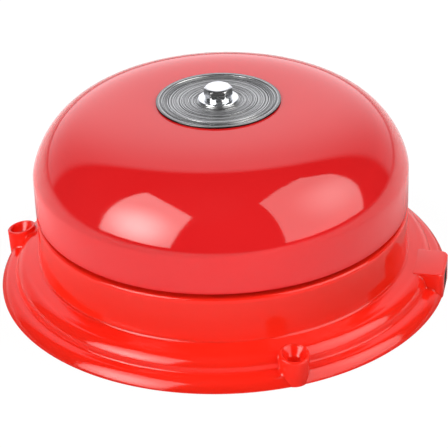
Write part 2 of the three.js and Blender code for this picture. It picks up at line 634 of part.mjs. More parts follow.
[1, -1].forEach((side, i) => {
  const y = TERMINAL_Y * side;
  const clamp = cut(
    block(TERMINAL_X - CLAMP, TERMINAL_X + CLAMP, -CLAMP, CLAMP, 0, 6.0),
    barX(1.5, 0, TERMINAL_Z - CLAMP_Z, 59, 69, 10),
    barZ(1.5, TERMINAL_X, 0, -1, 2.2, 10),
  );
  piece(wiring, `terminal_clamp_${i + 1}`, clamp, brass, [0, y, CLAMP_Z]);
  const clampScrew = screw({ headR: 2.9, headH: 1.8, shankR: 1.2, length: 2.0, slot: 0.8 });
  const place = [TERMINAL_X, y, CLAMP_Z - 0.1];
  piece(wiring, `terminal_screw_${i + 1}`, clampScrew, zinc, place, facingWall(0.5 * side));
});

const terminalFixing = screw({ headR: 2.3, headH: 1.8, shankR: 1.35, length: 13.6 });
const terminalFixingPlace = [TERMINAL_X, 0, TERMINAL_BLOCK_Z];
piece(
  wiring, 'terminal_block_screw', terminalFixing, zinc, terminalFixingPlace, facingWall(0.2),
);
const suppressor = lathe([
  [0, -9.5], [0.4, -9.5], [0.4, -4], [1.9, -3.8], [1.9, 3.8], [0.4, 4], [0.4, 9.5], [0, 9.5],
], 12);
piece(wiring, 'suppressor', suppressor, blackPlastic, [TERMINAL_X, 0, 10.9], [Math.PI / 2, 0, 0]);

// ---------- leads ----------
const LEAD_R = 0.8;
const LEAD_END_X = TERMINAL_BLOCK_X - 0.2;

// Points are [x, y, z] along the lead.
const LEADS = [
  {
    name: 'coil_lead_1', material: blueInsulation, steps: 11,
    points: [
      [-8, 9.8, 31.6], [-4, 14.5, 29.5], [8, 18.5, 27.5],
      [20, 19.2, 27.6], [27, 19, 29.5], [28.5, 19, 32.8],
    ],
  },
  {
    name: 'coil_lead_2', material: brownInsulation, steps: 12,
    points: [
      [-8, -9.8, 31.6], [-3, -15, 28.5], [12, -20, 24],
      [32, -18, 19], [46, -10.5, 17.2], [LEAD_END_X, -TERMINAL_Y, TERMINAL_Z],
    ],
  },
  {
    name: 'contact_lead', material: blueInsulation, steps: 11,
    points: [
      [18.8, 30.4, 29.7], [20, 30, 25.5], [30, 25, 21],
      [43, 12.5, 18], [LEAD_END_X, TERMINAL_Y, TERMINAL_Z],
    ],
  },
];
for (const { name, material, steps, points } of LEADS) {
  const path = new THREE.CatmullRomCurve3(points.map((point) => new THREE.Vector3(...point)));
  piece(wiring, name, sweep(path, LEAD_R, steps, 6), material);
}

export default bell;
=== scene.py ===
"""Fire alarm bell: a gong over a round moulded base, with the solenoid striker between them.

The wall face is z = 0, the gong's axis is the z axis and the cable leaves at +X. The striker slides
along X. Lengths are millimetres until they go into a mesh, a light or a shader, which use metres.
"""

import json
import math

import bmesh
import bpy
from mathutils import Matrix, Vector, noise


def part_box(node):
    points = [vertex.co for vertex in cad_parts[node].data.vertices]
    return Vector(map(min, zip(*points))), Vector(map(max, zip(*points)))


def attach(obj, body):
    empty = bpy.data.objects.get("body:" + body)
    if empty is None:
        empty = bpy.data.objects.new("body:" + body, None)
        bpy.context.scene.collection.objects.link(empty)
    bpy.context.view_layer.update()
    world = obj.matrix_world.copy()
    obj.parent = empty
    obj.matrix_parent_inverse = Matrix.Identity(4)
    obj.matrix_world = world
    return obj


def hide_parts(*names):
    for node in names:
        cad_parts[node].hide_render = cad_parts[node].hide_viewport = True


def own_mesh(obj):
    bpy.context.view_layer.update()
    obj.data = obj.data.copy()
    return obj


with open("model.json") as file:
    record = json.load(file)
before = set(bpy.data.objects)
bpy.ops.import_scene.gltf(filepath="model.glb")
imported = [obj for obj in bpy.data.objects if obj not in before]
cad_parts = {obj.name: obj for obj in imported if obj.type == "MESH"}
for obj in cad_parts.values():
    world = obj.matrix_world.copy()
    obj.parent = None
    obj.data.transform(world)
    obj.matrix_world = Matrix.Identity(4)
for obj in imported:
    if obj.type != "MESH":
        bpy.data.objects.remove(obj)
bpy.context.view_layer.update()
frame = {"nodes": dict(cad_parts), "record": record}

MM = 0.001
ORIGIN = (0, 0, 0)
scene = bpy.context.scene

# ----------------------------------------------------------------- driving dimensions
gong_low, gong_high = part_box("gong")
base_low, base_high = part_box("base_housing")
GONG_R = gong_high.x / MM
GONG_RIM_Z = gong_low.z / MM
CROWN_Z = gong_high.z / MM  # outside of the gong at its centre
BASE_R = base_high.y / MM
CORE_TOP_Z = base_high.z / MM

SHOULDER_Z = GONG_RIM_Z + 15.55  # the straight wall ends and the dome starts
GONG_WALL = 1.6
SIDE_POWER, TOP_POWER = 5.43, 1.374  # superellipse exponents of the dome
CROWN_HOLE_R = 3.6

DRUM_R = 75.0
LEDGE_Z = 31.3  # ledge of the base under the gong
LUG_ANGLES = (180, -60, 60)
LUG_R = 86.6  # lug axes from the bell's axis
LUG_TOP, LUG_TOP_R, LUG_FOOT_R = 11.8, 5.8, 5.3
TAB_X, TAB_Y, TAB_Z = 91.2, 10.0, 11.2  # end, half width and height of the cable tab
CABLE_Z = 4.7

AXIS_Z = 37.5  # the striker's axis, parallel to x
SOLENOID = ("X", (0, 0, AXIS_Z))
COIL_X0, COIL_X1 = -34.2, 2.2
CONTACT_Y = 19
TERMINAL_X, TERMINAL_Y = 64, 6.6
LOW_SEAT_Z, HIGH_SEAT_Z = 50.0, 52.0  # seats of the mechanism's screw heads
CORNERS = [(37.5, 20.0), (37.5, -20.0), (-37.5, 20.0), (-37.5, -20.0)]


# ----------------------------------------------------------------- outlines
def arc(x, y, radius, degrees, radius_y=None):
    """Points round (x, y), at each of the given angles."""
    turns = [math.radians(d) for d in degrees]
    radius_y = radius_y or radius
    return [(x + radius * math.cos(t), y + radius_y * math.sin(t)) for t in turns]


def corner(x, y, radius, start, steps):
    """A quarter turn from the angle start."""
    return arc(x, y, radius, [start + 90 * k / steps for k in range(steps + 1)])


def rounded(points, steps=4):
    """A closed profile of (u, v) or (u, v, fillet radius) with each given corner filleted."""
    out = []
    for i, point in enumerate(points):
        wanted = point[2] if len(point) > 2 else 0
        here = Vector(point[:2])
        a = Vector(points[i - 1][:2]) - here
        b = Vector(points[(i + 1) % len(points)][:2]) - here
        if wanted <= 0 or a.length < 1e-6 or b.length < 1e-6 or here.x < 1e-6:
            out.append(tuple(here))
            continue
        angle = a.angle(b)
        if angle > math.radians(175):
            out.append(tuple(here))
            continue
        setback = min(wanted / math.tan(angle / 2), 0.48 * a.length, 0.48 * b.length)
        radius = setback * math.tan(angle / 2)
        middle = (a.normalized() + b.normalized()).normalized()
        centre = here + middle * (radius / math.sin(angle / 2))
        start = here + a.normalized() * setback - centre
        end = here + b.normalized() * setback - centre
        turn = math.atan2(start.x * end.y - start.y * end.x, start.dot(end))
        for k in range(steps + 1):
            c, s = math.cos(turn * k / steps), math.sin(turn * k / steps)
            out.append(
                (centre.x + start.x * c - start.y * s, centre.y + start.x * s + start.y * c)
            )
    return out


def thread(crest_r, root_r, z0, z1, pitch):
    """Profile of ridges from z0 as far as whole pitches fit below z1."""
    points, z = [], z0
    while z + pitch <= z1:
        points += [
            (root_r, z + 0.06 * pitch),
            (crest_r, z + 0.42 * pitch),
            (crest_r, z + 0.58 * pitch),
            (root_r, z + 0.94 * pitch),
        ]
        z += pitch
    return points


# ----------------------------------------------------------------- meshes
def new_object(name, mesh):
    ob = bpy.data.objects.new(name, mesh)
    scene.collection.objects.link(ob)
    return ob


def shade(mesh, sharp):
    """Smooth shading, with edges over `sharp` degrees kept crisp."""
    mesh.shade_smooth()
    mesh.set_sharp_from_angle(angle=math.radians(sharp))


def solid(name, verts, faces, sharp=32):
    """An object from vertices in mm, its faces turned outwards."""
    mesh = bpy.data.meshes.new(name)
    mesh.from_pydata([Vector(v) * MM for v in verts], [], faces)
    mesh.validate()
    bm = bmesh.new()
    bm.from_mesh(mesh)
    bmesh.ops.remove_doubles(bm, verts=bm.verts, dist=1e-7)
    if bm.calc_volume(signed=True) < 0:
        bmesh.ops.reverse_faces(bm, faces=bm.faces)
    bm.to_mesh(mesh)
    bm.free()
    shade(mesh, sharp)
    return new_object(name, mesh)


def band(p, q):
    """Faces between two rings of vertex numbers. A ring of one vertex is a pole."""
    if len(p) == 1 and len(q) == 1:
        return []
    count = max(len(p), len(q))
    faces = []
    for k in range(count):
        k2 = (k + 1) % count
        if len(p) == 1:
            faces.append((p[0], q[k], q[k2]))
        elif len(q) == 1:
            faces.append((p[k], q[0], p[k2]))
        else:
            faces.append((p[k], q[k], q[k2], p[k2]))
    return faces


def numbered(rows):
    """Rows of points as one list of vertices and rings of vertex numbers."""
    verts, rings = [], []
    for row in rows:
        rings.append(list(range(len(verts), len(verts) + len(row))))
        verts += row
    return verts, rings


def skin(rows, around=False, caps=False):
    """Vertices and faces over closed rows of points; `around` joins the last row to the first."""
    verts, rings = numbered(rows)
    following = rings[1:] + (rings[:1] if around else [])
    faces = [face for p, q in zip(rings, following) for face in band(p, q)]
    if caps:
        faces += [tuple(reversed(rings[0])), tuple(rings[-1])]
    return verts, faces


def sweep(profile_at, segments, phase=0.0):
    """Rows of points round z from the profile of (r, z) found at each angle."""
    columns = []
    for k in range(segments):
        angle = 2 * math.pi * k / segments + phase
        c, s = math.cos(angle), math.sin(angle)
        columns.append([(r * c, r * s, z) for r, z in profile_at(angle)])
    return [list(row) for row in zip(*columns)]


def revolve(profile, segments):
    """Vertices and faces of the body of revolution about z of a closed profile of (r, z)."""
    rows = sweep(lambda angle: profile, segments)
    rows = [[(0, 0, z)] if r < 1e-6 else row for (r, z), row in zip(profile, rows)]
    return skin(rows, around=True)


def place(points, axis="Z", at=ORIGIN):
    """Stands points built along z on another axis and moves them."""
    x0, y0, z0 = at
    if axis == "X":
        return [(z + x0, y + y0, -x + z0) for x, y, z in points]
    if axis == "Y":
        return [(x + x0, z + y0, -y + z0) for x, y, z in points]
    return [(x + x0, y + y0, z + z0) for x, y, z in points]


def rotate_z(points, degrees):
    c, s = math.cos(math.radians(degrees)), math.sin(math.radians(degrees))
    return [(x * c - y * s, x * s + y * c, z) for x, y, z in points]


def around_striker(x, radius, angle):
    """A point round the striker's axis."""
    return (x, radius * math.cos(angle), AXIS_Z + radius * math.sin(angle))


def turned(name, profile, segments, axis="Z", at=ORIGIN, sharp=32):
    verts, faces = revolve(profile, segments)
    return solid(name, place(verts, axis, at), faces, sharp)


def lathe(name, profile, segments, axis="Z", at=ORIGIN, fillet_steps=4):
    """Turned body whose profile of (r, z, fillet radius) gets its corners rounded."""
    return turned(name, rounded(profile, fillet_steps), segments, axis, at)


def bar(name, radius, low, high, axis, at, segments=48):
    profile = [(0, low), (radius, low), (radius, high), (0, high)]
    return turned(name, profile, segments, axis, at)


def box(name, low, high):
    (x0, y0, z0), (x1, y1, z1) = low, high
    verts = [(x, y, z) for x in (x0, x1) for y in (y0, y1) for z in (z0, z1)]
    faces = [
        (0, 1, 3, 2), (4, 6, 7, 5), (0, 4, 5, 1), (2, 3, 7, 6), (0, 2, 6, 4), (1, 5, 7, 3),
    ]
    return solid(name, verts, faces)


def carve(ob, tools, sharp, operation="DIFFERENCE"):
    """Cuts the tools out of ob, or joins them to it, and removes them."""
    for tool in tools:
        modifier = ob.modifiers.new("b", "BOOLEAN")
        modifier.operation, modifier.solver, modifier.object = operation, "EXACT", tool
        bpy.context.view_layer.update()
        depsgraph = bpy.context.evaluated_depsgraph_get()
        mesh = bpy.data.meshes.new_from_object(ob.evaluated_get(depsgraph))
        ob.modifiers.clear()
        ob.data = mesh
    for tool in tools:
        bpy.data.objects.remove(tool)
    shade(ob.data, sharp)
    return ob


def tube(name, points, radius, sides):
    """Round wire through points, with its frame carried along the path."""
    path = [Vector(p) for p in points]
    rows = []
    normal = (path[1] - path[0]).normalized().orthogonal().normalized()
    for i, here in enumerate(path):
        tangent = (path[min(i + 1, len(path) - 1)] - path[max(i - 1, 0)]).normalized()
        normal = (normal - tangent * normal.dot(tangent)).normalized()
        across = tangent.cross(normal)
        row = []
        for k in range(sides):
            a = 2 * math.pi * k / sides
            row.append(here + normal * (radius * math.cos(a)) + across * (radius * math.sin(a)))
        rows.append(row)
    verts, faces = skin(rows)
    # low cones close the ends
    verts.append(path[0] - (path[1] - path[0]).normalized() * radius * 0.25)
    verts.append(path[-1] + (path[-1] - path[-2]).normalized() * radius * 0.25)
    first_tip, last_tip, last = len(verts) - 2, len(verts) - 1, (len(path) - 1) * sides
    for k in range(sides):
        k2 = (k + 1) % sides
        faces.append((first_tip, k, k2))
        faces.append((last_tip, last + k2, last + k))
    return solid(name, verts, faces, sharp=50)


def spline(points, steps):
    """Catmull-Rom curve through the points."""
    known = [Vector(p) for p in points]
    known = [known[0] * 2 - known[1]] + known + [known[-1] * 2 - known[-2]]
    out = []
    for i in range(1, len(known) - 2):
        p0, p1, p2, p3 = known[i - 1 : i + 3]
        for k in range(steps):
            t = k / steps
            square = (2 * p0 - 5 * p1 + 4 * p2 - p3) * t * t
            cube = (3 * p1 - p0 - 3 * p2 + p3) * t**3
            out.append(0.5 * (2 * p1 + (p2 - p0) * t + square + cube))
    out.append(known[-2])
    return out


# ----------------------------------------------------------------- shader graphs
class Graph:
    """An emptied node tree. Any input takes a number, a tuple or another node's output."""

    def __init__(self, owner):
        owner.use_nodes = True
        self.tree = owner.node_tree
        self.tree.nodes.clear()
        self.coord = self.add("TexCoord")

    def add(self, kind, inputs=None, **settings):
        node = self.tree.nodes.new("ShaderNode" + kind)
        for key, value in settings.items():
            setattr(node, key, value)
        for key, value in (inputs or {}).items():
            self.feed(node.inputs[key], value)
        return node

    def feed(self, socket, value):
        if isinstance(value, bpy.types.NodeSocket):
            self.tree.links.new(value, socket)
        elif isinstance(value, tuple) and len(value) == 3 and socket.type == "RGBA":
            socket.default_value = (*value, 1.0)
        else:
            socket.default_value = value

    def math(self, operation, *values):
        return self.add("Math", dict(enumerate(values)), operation=operation).outputs[0]

    def plus(self, a, b):
        return self.math("ADD", a, b)

    def times(self, a, b):
        return self.math("MULTIPLY", a, b)

    def vector(self, operation, *values):
        """Vector maths whose result is a number."""
        node = self.add("VectorMath", dict(enumerate(values)), operation=operation)
        return node.outputs["Value"]

    def remap(self, value, source, to, smooth=False):
        inputs = {
            "Value": value,
            "From Min": source[0], "From Max": source[1],
            "To Min": to[0], "To Max": to[1],
        }
        kind = "SMOOTHSTEP" if smooth else "LINEAR"
        return self.add("MapRange", inputs, interpolation_type=kind).outputs["Result"]

    def spread(self, noise_value, to=(0, 1)):
        """Stretches the middle of a noise's range over `to`."""
        return self.remap(noise_value, (0.3, 0.7), to)

    def noise(self, scale, detail=2.0, roughness=0.5, vector=None):
        inputs = {
            "Scale": scale, "Detail": detail, "Roughness": roughness,
            "Vector": vector or self.coord.outputs["Object"],
        }
        return self.add("TexNoise", inputs).outputs["Fac"]

    def line_noise(self, position, detail=2.0):
        """Noise along one coordinate."""
        inputs = {"W": position, "Scale": 1.0, "Detail": detail}
        return self.add("TexNoise", inputs, noise_dimensions="1D").outputs["Fac"]

    def cells(self, scale):
        inputs = {"Scale": scale, "Vector": self.coord.outputs["Object"]}
        return self.add("TexVoronoi", inputs).outputs

    def mix(self, factor, a, b):
        return self.add("Mix", {0: factor, 6: a, 7: b}, data_type="RGBA").outputs[2]

    def mix_number(self, factor, a, b):
        return self.add("Mix", {0: factor, 2: a, 3: b}, data_type="FLOAT").outputs[0]

    def mix_shader(self, factor, a, b):
        return self.add("MixShader", {0: factor, 1: a, 2: b}).outputs[0]

    def ray(self, kind):
        return self.add("LightPath").outputs[kind]

    def xyz(self):
        return self.add("SeparateXYZ", {0: self.coord.outputs["Object"]}).outputs

    def stretched(self, *scale):
        inputs = {"Vector": self.coord.outputs["Object"], "Scale": scale}
        return self.add("Mapping", inputs).outputs[0]

    def bump(self, height, strength, distance):
        inputs = {"Strength": strength, "Distance": distance, "Height": height}
        return self.add("Bump", inputs).outputs[0]

    def edges(self):
        """About 1 on convex edges, 0 on flats, from the bevelled normal."""
        bevel = self.add("Bevel", {"Radius": 0.0004}, samples=4).outputs[0]
        flat = self.add("NewGeometry").outputs["Normal"]
        return self.remap(self.vector("DOT_PRODUCT", bevel, flat), (0.995, 0.86), (0.0, 1.0))


class Surface(Graph):
    """A material made of one Principled shader."""

    def __init__(self, name):
        self.material = bpy.data.materials.new(name)
        super().__init__(self.material)
        self.shader = self.add("BsdfPrincipled")
        self.add("OutputMaterial", {0: self.shader.outputs[0]})

    def put(self, **values):
        """Sets shader inputs, underscores standing for spaces, and returns the material."""
        for key, value in values.items():
            self.feed(self.shader.inputs[key.replace("_", " ")], value)
        return self.material


def lighter(colour, gain, lift=0.0):
    return tuple(min(1.0, c * gain + lift) for c in colour)


# ----------------------------------------------------------------- materials
def gong_paint():
    """Glossy enamel with a faint orange peel and a few dust nibs."""
    n = Surface("red_gong_paint")
    patch = n.remap(n.noise(scale=18, detail=3), source=(0.35, 0.65), to=(0, 1))
    peel = n.noise(scale=420, detail=2, roughness=0.45)
    fine = n.noise(scale=2600)
    nibs = n.remap(n.cells(scale=130)["Distance"], source=(0.02, 0.05), to=(1, 0), smooth=True)
    nib_height, fine_height, fine_gloss = 0.15, 0.05, 0.01
    height = n.plus(peel, n.times(nibs, nib_height))
    height = n.plus(height, n.times(fine, fine_height))
    gloss = n.spread(n.noise(scale=55, detail=4, roughness=0.6), to=(0.045, 0.085))
    return n.put(
        Base_Color=n.mix(patch, (0.770, 0.0125, 0.0140), (0.805, 0.0150, 0.0168)),
        Roughness=n.plus(gloss, n.times(fine, fine_gloss)),
        IOR=1.5,
        Normal=n.bump(height, strength=0.10, distance=0.00004),
    )


def housing_plastic():
    """Moulded gloss plastic, more orange than the gong, in one red with painted shade: a darker
    copy on the drum wall and a lighter, painted-light copy on flange and ledge.
    """
    n = Surface("red_housing")
    flow = n.noise(scale=9, detail=4, roughness=0.55, vector=n.stretched(1, 1, 3))
    # Painted light and shade: the same red, lighter for flange and ledge and darker for the drum
    # wall between them.
    flange = n.mix(n.spread(flow), (0.890, 0.0168, 0.0070), (0.930, 0.0205, 0.0088))
    drum = n.mix(n.spread(flow), (0.735, 0.0160, 0.0066), (0.775, 0.0195, 0.0082))
    z = n.xyz()[2]
    shade_band_starts = n.remap(z, source=(0.0117, 0.0129), to=(0, 1), smooth=True)
    shade_band_ends = n.remap(z, source=(0.0288, 0.0305), to=(0, 1), smooth=True)
    colour = n.mix(shade_band_ends, n.mix(shade_band_starts, flange, drum), flange)
    peel, wave = n.noise(scale=700), n.noise(scale=60)
    peel_height = 0.35
    height = n.plus(n.times(peel, peel_height), wave)
    return n.put(
        Base_Color=colour,
        Roughness=n.spread(n.noise(scale=90, detail=4, roughness=0.6), to=(0.085, 0.135)),
        IOR=1.39,
        Normal=n.bump(height, strength=0.10, distance=0.00008),
        Subsurface_Weight=0.25,
        Subsurface_Radius=(0.0030, 0.0004, 0.0002),
        Subsurface_Scale=1.0,
    )


def turned_aluminium():
    """Face-turned aluminium: tool-mark bumps over the modelled grooves, with concentric bands of
    painted reflection from near black to silver in its colour.
    """
    n = Surface("turned_aluminium")
    x, y = n.xyz()[:2]
    radius = n.math("SQRT", n.plus(n.times(x, x), n.times(y, y)))
    wander, fine_pitch, coarse_pitch, fine_height = 0.00012, 0.00022, 0.00052, 0.4
    painted_bands_per_metre = 3600.0
    radius = n.plus(radius, n.times(n.noise(scale=35, detail=3), wander))
    fine = n.math("SINE", n.times(radius, 2 * math.pi / fine_pitch))
    coarse = n.math("SINE", n.times(radius, 2 * math.pi / coarse_pitch))
    height = n.plus(n.times(fine, fine_height), coarse)
    # Painted reflection: rings of near-black and silver in the colour stand in for the turned face
    # catching and losing the light.
    rings = n.line_noise(n.times(radius, painted_bands_per_metre), detail=3)
    tone = n.remap(rings, source=(0.44, 0.60), to=(0, 1))
    return n.put(
        Base_Color=n.mix(tone, (0.018, 0.018, 0.018), (0.66, 0.665, 0.66)),
        Metallic=1.0,
        Roughness=n.remap(tone, source=(0, 1), to=(0.42, 0.26)),
        Normal=n.bump(height, strength=0.5, distance=0.00003),
    )


def metal(name, light, dark, rough, bump=0.08, stretch=None, spangle=0.0):
    """Plated or ground metal: cloudy tone, uneven gloss, brighter rubbed edges."""
    n = Surface(name)
    vector = n.stretched(*stretch) if stretch else None
    cloud = n.noise(scale=65, detail=4, roughness=0.6, vector=vector)
    grain = n.noise(scale=1560, detail=3, roughness=0.6, vector=vector)
    marks = n.noise(scale=260, detail=4, roughness=0.65, vector=vector)
    colour = n.mix(n.spread(cloud), dark, light)
    if spangle:
        cell = n.add("SeparateColor", {0: n.cells(scale=520)["Color"]}).outputs[0]
        colour = n.mix(n.times(cell, spangle), colour, lighter(light, gain=1.25))
    edge_share = 0.5
    colour = n.mix(n.times(n.edges(), edge_share), colour, lighter(light, gain=1.18))
    return n.put(
        Base_Color=colour,
        Metallic=1.0,
        Roughness=n.spread(marks, to=rough),
        Normal=n.bump(grain, strength=bump, distance=0.00003),
    )


def copper_wire():
    """Enamelled copper, its tone varying turn by turn along x."""
    n = Surface("enamelled_copper")
    steps_per_metre = 1800.0
    tone = n.line_noise(n.times(n.xyz()[0], steps_per_metre))
    return n.put(
        Base_Color=n.mix(n.spread(tone), (0.42, 0.12, 0.035), (0.72, 0.27, 0.09)),
        Metallic=0.85,
        Roughness=n.spread(n.noise(scale=900, detail=3), to=(0.2, 0.34)),
        Coat_Weight=0.6,
        Coat_Roughness=0.1,
        Coat_Tint=(1.0, 0.72, 0.45),
    )


def plastic(name, dark, light, rough, grain, bump, edge=0.0, fibre=None, **more):
    """Moulded plastic, laminate or rubber: fine texture, slight tone drift, paler edges."""
    n = Surface(name)
    vector = n.stretched(*fibre) if fibre else None
    drift = n.noise(scale=120, detail=4, roughness=0.6, vector=vector)
    colour = n.mix(n.spread(drift), dark, light)
    if edge:
        colour = n.mix(n.times(n.edges(), edge), colour, lighter(light, gain=1.6, lift=0.02))
    texture = n.noise(scale=grain, detail=3, roughness=0.6)
    return n.put(
        Base_Color=colour,
        Roughness=n.spread(n.noise(scale=300, detail=3), to=rough),
        Normal=n.bump(texture, strength=bump, distance=0.00004),
        **more,
    )


METALS = {
    "bright_zinc": dict(
        light=(0.86, 0.87, 0.88), dark=(0.70, 0.72, 0.74), rough=(0.12, 0.24), bump=0.06
    ),
    "zinc_sheet": dict(
        light=(0.66, 0.67, 0.68), dark=(0.50, 0.51, 0.53), rough=(0.26, 0.42),
        spangle=0.35, stretch=(1, 6, 1),
    ),
    "steel": dict(
        light=(0.62, 0.62, 0.63), dark=(0.46, 0.46, 0.47), rough=(0.2, 0.34), stretch=(8, 1, 1)
    ),
    "brass": dict(light=(0.84, 0.64, 0.30), dark=(0.64, 0.44, 0.18), rough=(0.18, 0.36)),
    "bronze_leaf": dict(
        light=(0.80, 0.50, 0.26), dark=(0.62, 0.34, 0.16), rough=(0.2, 0.36),
        stretch=(1, 0.2, 3),
    ),
}
PLASTICS = {
    "coil_tape": dict(
        dark=(0.72, 0.50, 0.07), light=(0.80, 0.60, 0.12), rough=(0.22, 0.34),
        grain=300, bump=0.05,
    ),
    "black_plastic": dict(
        dark=(0.016, 0.016, 0.018), light=(0.028, 0.028, 0.031), rough=(0.34, 0.5),
        grain=1500, bump=0.12, edge=0.25,
    ),
    "phenolic": dict(
        dark=(0.11, 0.042, 0.020), light=(0.23, 0.10, 0.048), rough=(0.26, 0.4),
        grain=900, bump=0.1, edge=0.3, fibre=(14, 14, 3),
    ),
    "nylon": dict(
        dark=(0.78, 0.75, 0.66), light=(0.88, 0.86, 0.79), rough=(0.34, 0.48),
        grain=800, bump=0.06,
        Subsurface_Weight=0.25, Subsurface_Radius=(0.001, 0.0009, 0.0007),
    ),
    "rubber": dict(
        dark=(0.013, 0.013, 0.014), light=(0.024, 0.024, 0.025), rough=(0.62, 0.8),
        grain=1100, bump=0.3,
    ),
    "fibre": dict(
        dark=(0.24, 0.045, 0.03), light=(0.40, 0.09, 0.055), rough=(0.6, 0.8),
        grain=700, bump=0.35, edge=0.2, fibre=(1, 1, 8),
    ),
    "wire_blue": dict(
        dark=(0.03, 0.10, 0.36), light=(0.055, 0.16, 0.50), rough=(0.28, 0.4),
        grain=700, bump=0.05,
    ),
    "wire_brown": dict(
        dark=(0.14, 0.05, 0.02), light=(0.23, 0.09, 0.04), rough=(0.28, 0.4),
        grain=700, bump=0.05,
    ),
}
MATERIALS = {
    "red_gong_paint": gong_paint(),
    "red_housing": housing_plastic(),
    "turned_aluminium": turned_aluminium(),
    **{name: metal(name, **values) for name, values in METALS.items()},
    "enamelled_copper": copper_wire(),
    **{name: plastic(name, **values) for name, values in PLASTICS.items()},
}

# ----------------------------------------------------------------- links to the CAD frame
SLOT_OF = {s["node"]: s["material_slot"] for s in frame["record"]["subparts"]}
BODIES = frame["record"]["behaviour"]["bodies"]
BODY_OF = {node: body for body, members in BODIES.items() for node in members}


def dress(ob, slot):
    ob.data.materials.clear()
    ob.data.materials.append(MATERIALS[slot])


def stands_for(ob, node):
    """ob is the fine version of a CAD node: same place, body and finish."""
    dress(ob, SLOT_OF[node])
    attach(ob, BODY_OF[node])
    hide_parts(node)


def joins_base(ob):
    dress(ob, "red_housing")
    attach(ob, "base")


def lathe_part(name, node, segments, profile, axis="Z", at=ORIGIN, **options):
    """Lathe-turned stand-in for a node. Profile columns: radius, place on the axis, fillet."""
    stands_for(lathe(name, profile, segments, axis, at, **options), node)


# ----------------------------------------------------------------- gong
def dome(radius, top, count):
    """Superellipse from the shoulder to the axis, evenly stepped along its length."""
    samples = 4000
    fine = []
    for i in range(samples + 1):
        a = math.pi / 2 * (1 - i / samples)
        z = SHOULDER_Z + (top - SHOULDER_Z) * math.cos(a) ** (2 / TOP_POWER)
        fine.append((radius * math.sin(a) ** (2 / SIDE_POWER), z))
    run = [0.0]
    for p, q in zip(fine, fine[1:]):
        run.append(run[-1] + math.hypot(q[0] - p[0], q[1] - p[1]))
    out, j = [], 0
    for k in range(count + 1):
        wanted = run[-1] * k / count
        while j < len(run) - 2 and run[j + 1] < wanted:
            j += 1
        t = (wanted - run[j]) / max(run[j + 1] - run[j], 1e-9)
        out.append(tuple(fine[j][c] * (1 - t) + fine[j + 1][c] * t for c in (0, 1)))
    return out


def gong():
    hole, rim = CROWN_HOLE_R, GONG_RIM_Z
    inside_r, inside_top = GONG_R - GONG_WALL, CROWN_Z - GONG_WALL
    outer = [p for p in dome(GONG_R, CROWN_Z, 120) if p[0] > hole + 0.5]
    inner = [p for p in dome(inside_r, inside_top, 70) if p[0] > hole + 0.5]
    inner_edge, outer_edge = 0.5, 0.7  # radii of the rim's two edges
    profile = [
        *reversed(inner),
        (inside_r, SHOULDER_Z - 2), (inside_r, rim + 4), (inside_r, rim + inner_edge),
        *arc(inside_r + inner_edge, rim + inner_edge, inner_edge, (210, 240, 270)),
        *arc(GONG_R - outer_edge, rim + outer_edge, outer_edge, (-90, -68, -45, -23, 0)),
        (GONG_R, rim + 3), (GONG_R, rim + 6.5), (GONG_R, SHOULDER_Z - 3),
        *outer,
        (hole + 0.2, CROWN_Z), (hole, CROWN_Z - 0.2),
        (hole, inside_top + 0.2), (hole + 0.2, inside_top),
    ]
    stands_for(turned("gong_bowl", profile, 288, sharp=40), "gong")


gong()

# ----------------------------------------------------------------- base housing
# The moulded outside from the wall up to the ledge under the gong: (r, z).
BASE_OUTSIDE = [
    (BASE_R, 0.15), (BASE_R, 0.3), (91.1, 0.6), (90.92, 1.05), (90.67, 1.55), (90.38, 2.05),
    (90.07, 2.52), (89.74, 2.95), (89.4, 3.34), (89.02, 3.7), (88.62, 4.0), (88.2, 4.24),
    (87.72, 4.43), (87.2, 4.57), (86.6, 4.67), (85.75, 4.84), (85.35, 4.97), (85.1, 5.2),
    (84.93, 5.6),
    *arc(80.0, 5.3, 4.9, range(10, 91, 8), radius_y=5.7),
    (79.0, 11.28), (78.0, 11.52), (77.1, 11.72),
    *arc(DRUM_R + 1.3, 13.2, 1.3, range(270, 179, -15)),  # foot of the drum
    (DRUM_R, 16.0), (DRUM_R, 21.0), (DRUM_R, 26.5), (DRUM_R, LEDGE_Z - 1.5),
    *arc(DRUM_R - 1.0, LEDGE_Z - 1.0, 1.0, range(0, 91, 15)),  # rolled upper edge
    (72.5, LEDGE_Z), (66.0, LEDGE_Z), (59.2, LEDGE_Z),
]
# The core, then the hollow underside back out to the wall: (r, z, fillet radius is 0).
BASE_INSIDE = [
    (59.0, LEDGE_Z), (58.2, LEDGE_Z + 0.1), (58.0, LEDGE_Z + 0.5), (58.0, CORE_TOP_Z - 0.8),
    (57.2, CORE_TOP_Z), (5.1, CORE_TOP_Z), (5.1, 59.5), (54.7, 59.5), (55.5, 58.7),
    (55.5, 28.4), (56.3, 27.6), (71.0, 27.6), (72.2, 26.4), (72.2, 10.8), (73.4, 9.5),
    (78.8, 8.4), (81.0, 6.6), (82.4, 3.8), (83.4, 2.5), (86.3, 2.2), (86.5, 2.0),
    (86.5, 0.15), (86.65, 0.0), (BASE_R - 0.15, 0.0),
]
FLANGE = sorted([p for p in BASE_OUTSIDE if p[1] < 12.0 and p[0] > 76.0])


def flange_height(r):
    """Height of the flange's outside surface at a radius, 0 beyond its edge."""
    if r >= BASE_R:
        return 0.0
    for (r0, z0), (r1, z1) in zip(FLANGE, FLANGE[1:]):
        if r0 <= r <= r1:
            return z0 if r1 - r0 < 1e-9 else z0 + (z1 - z0) * (r - r0) / (r1 - r0)
    return FLANGE[0][1]


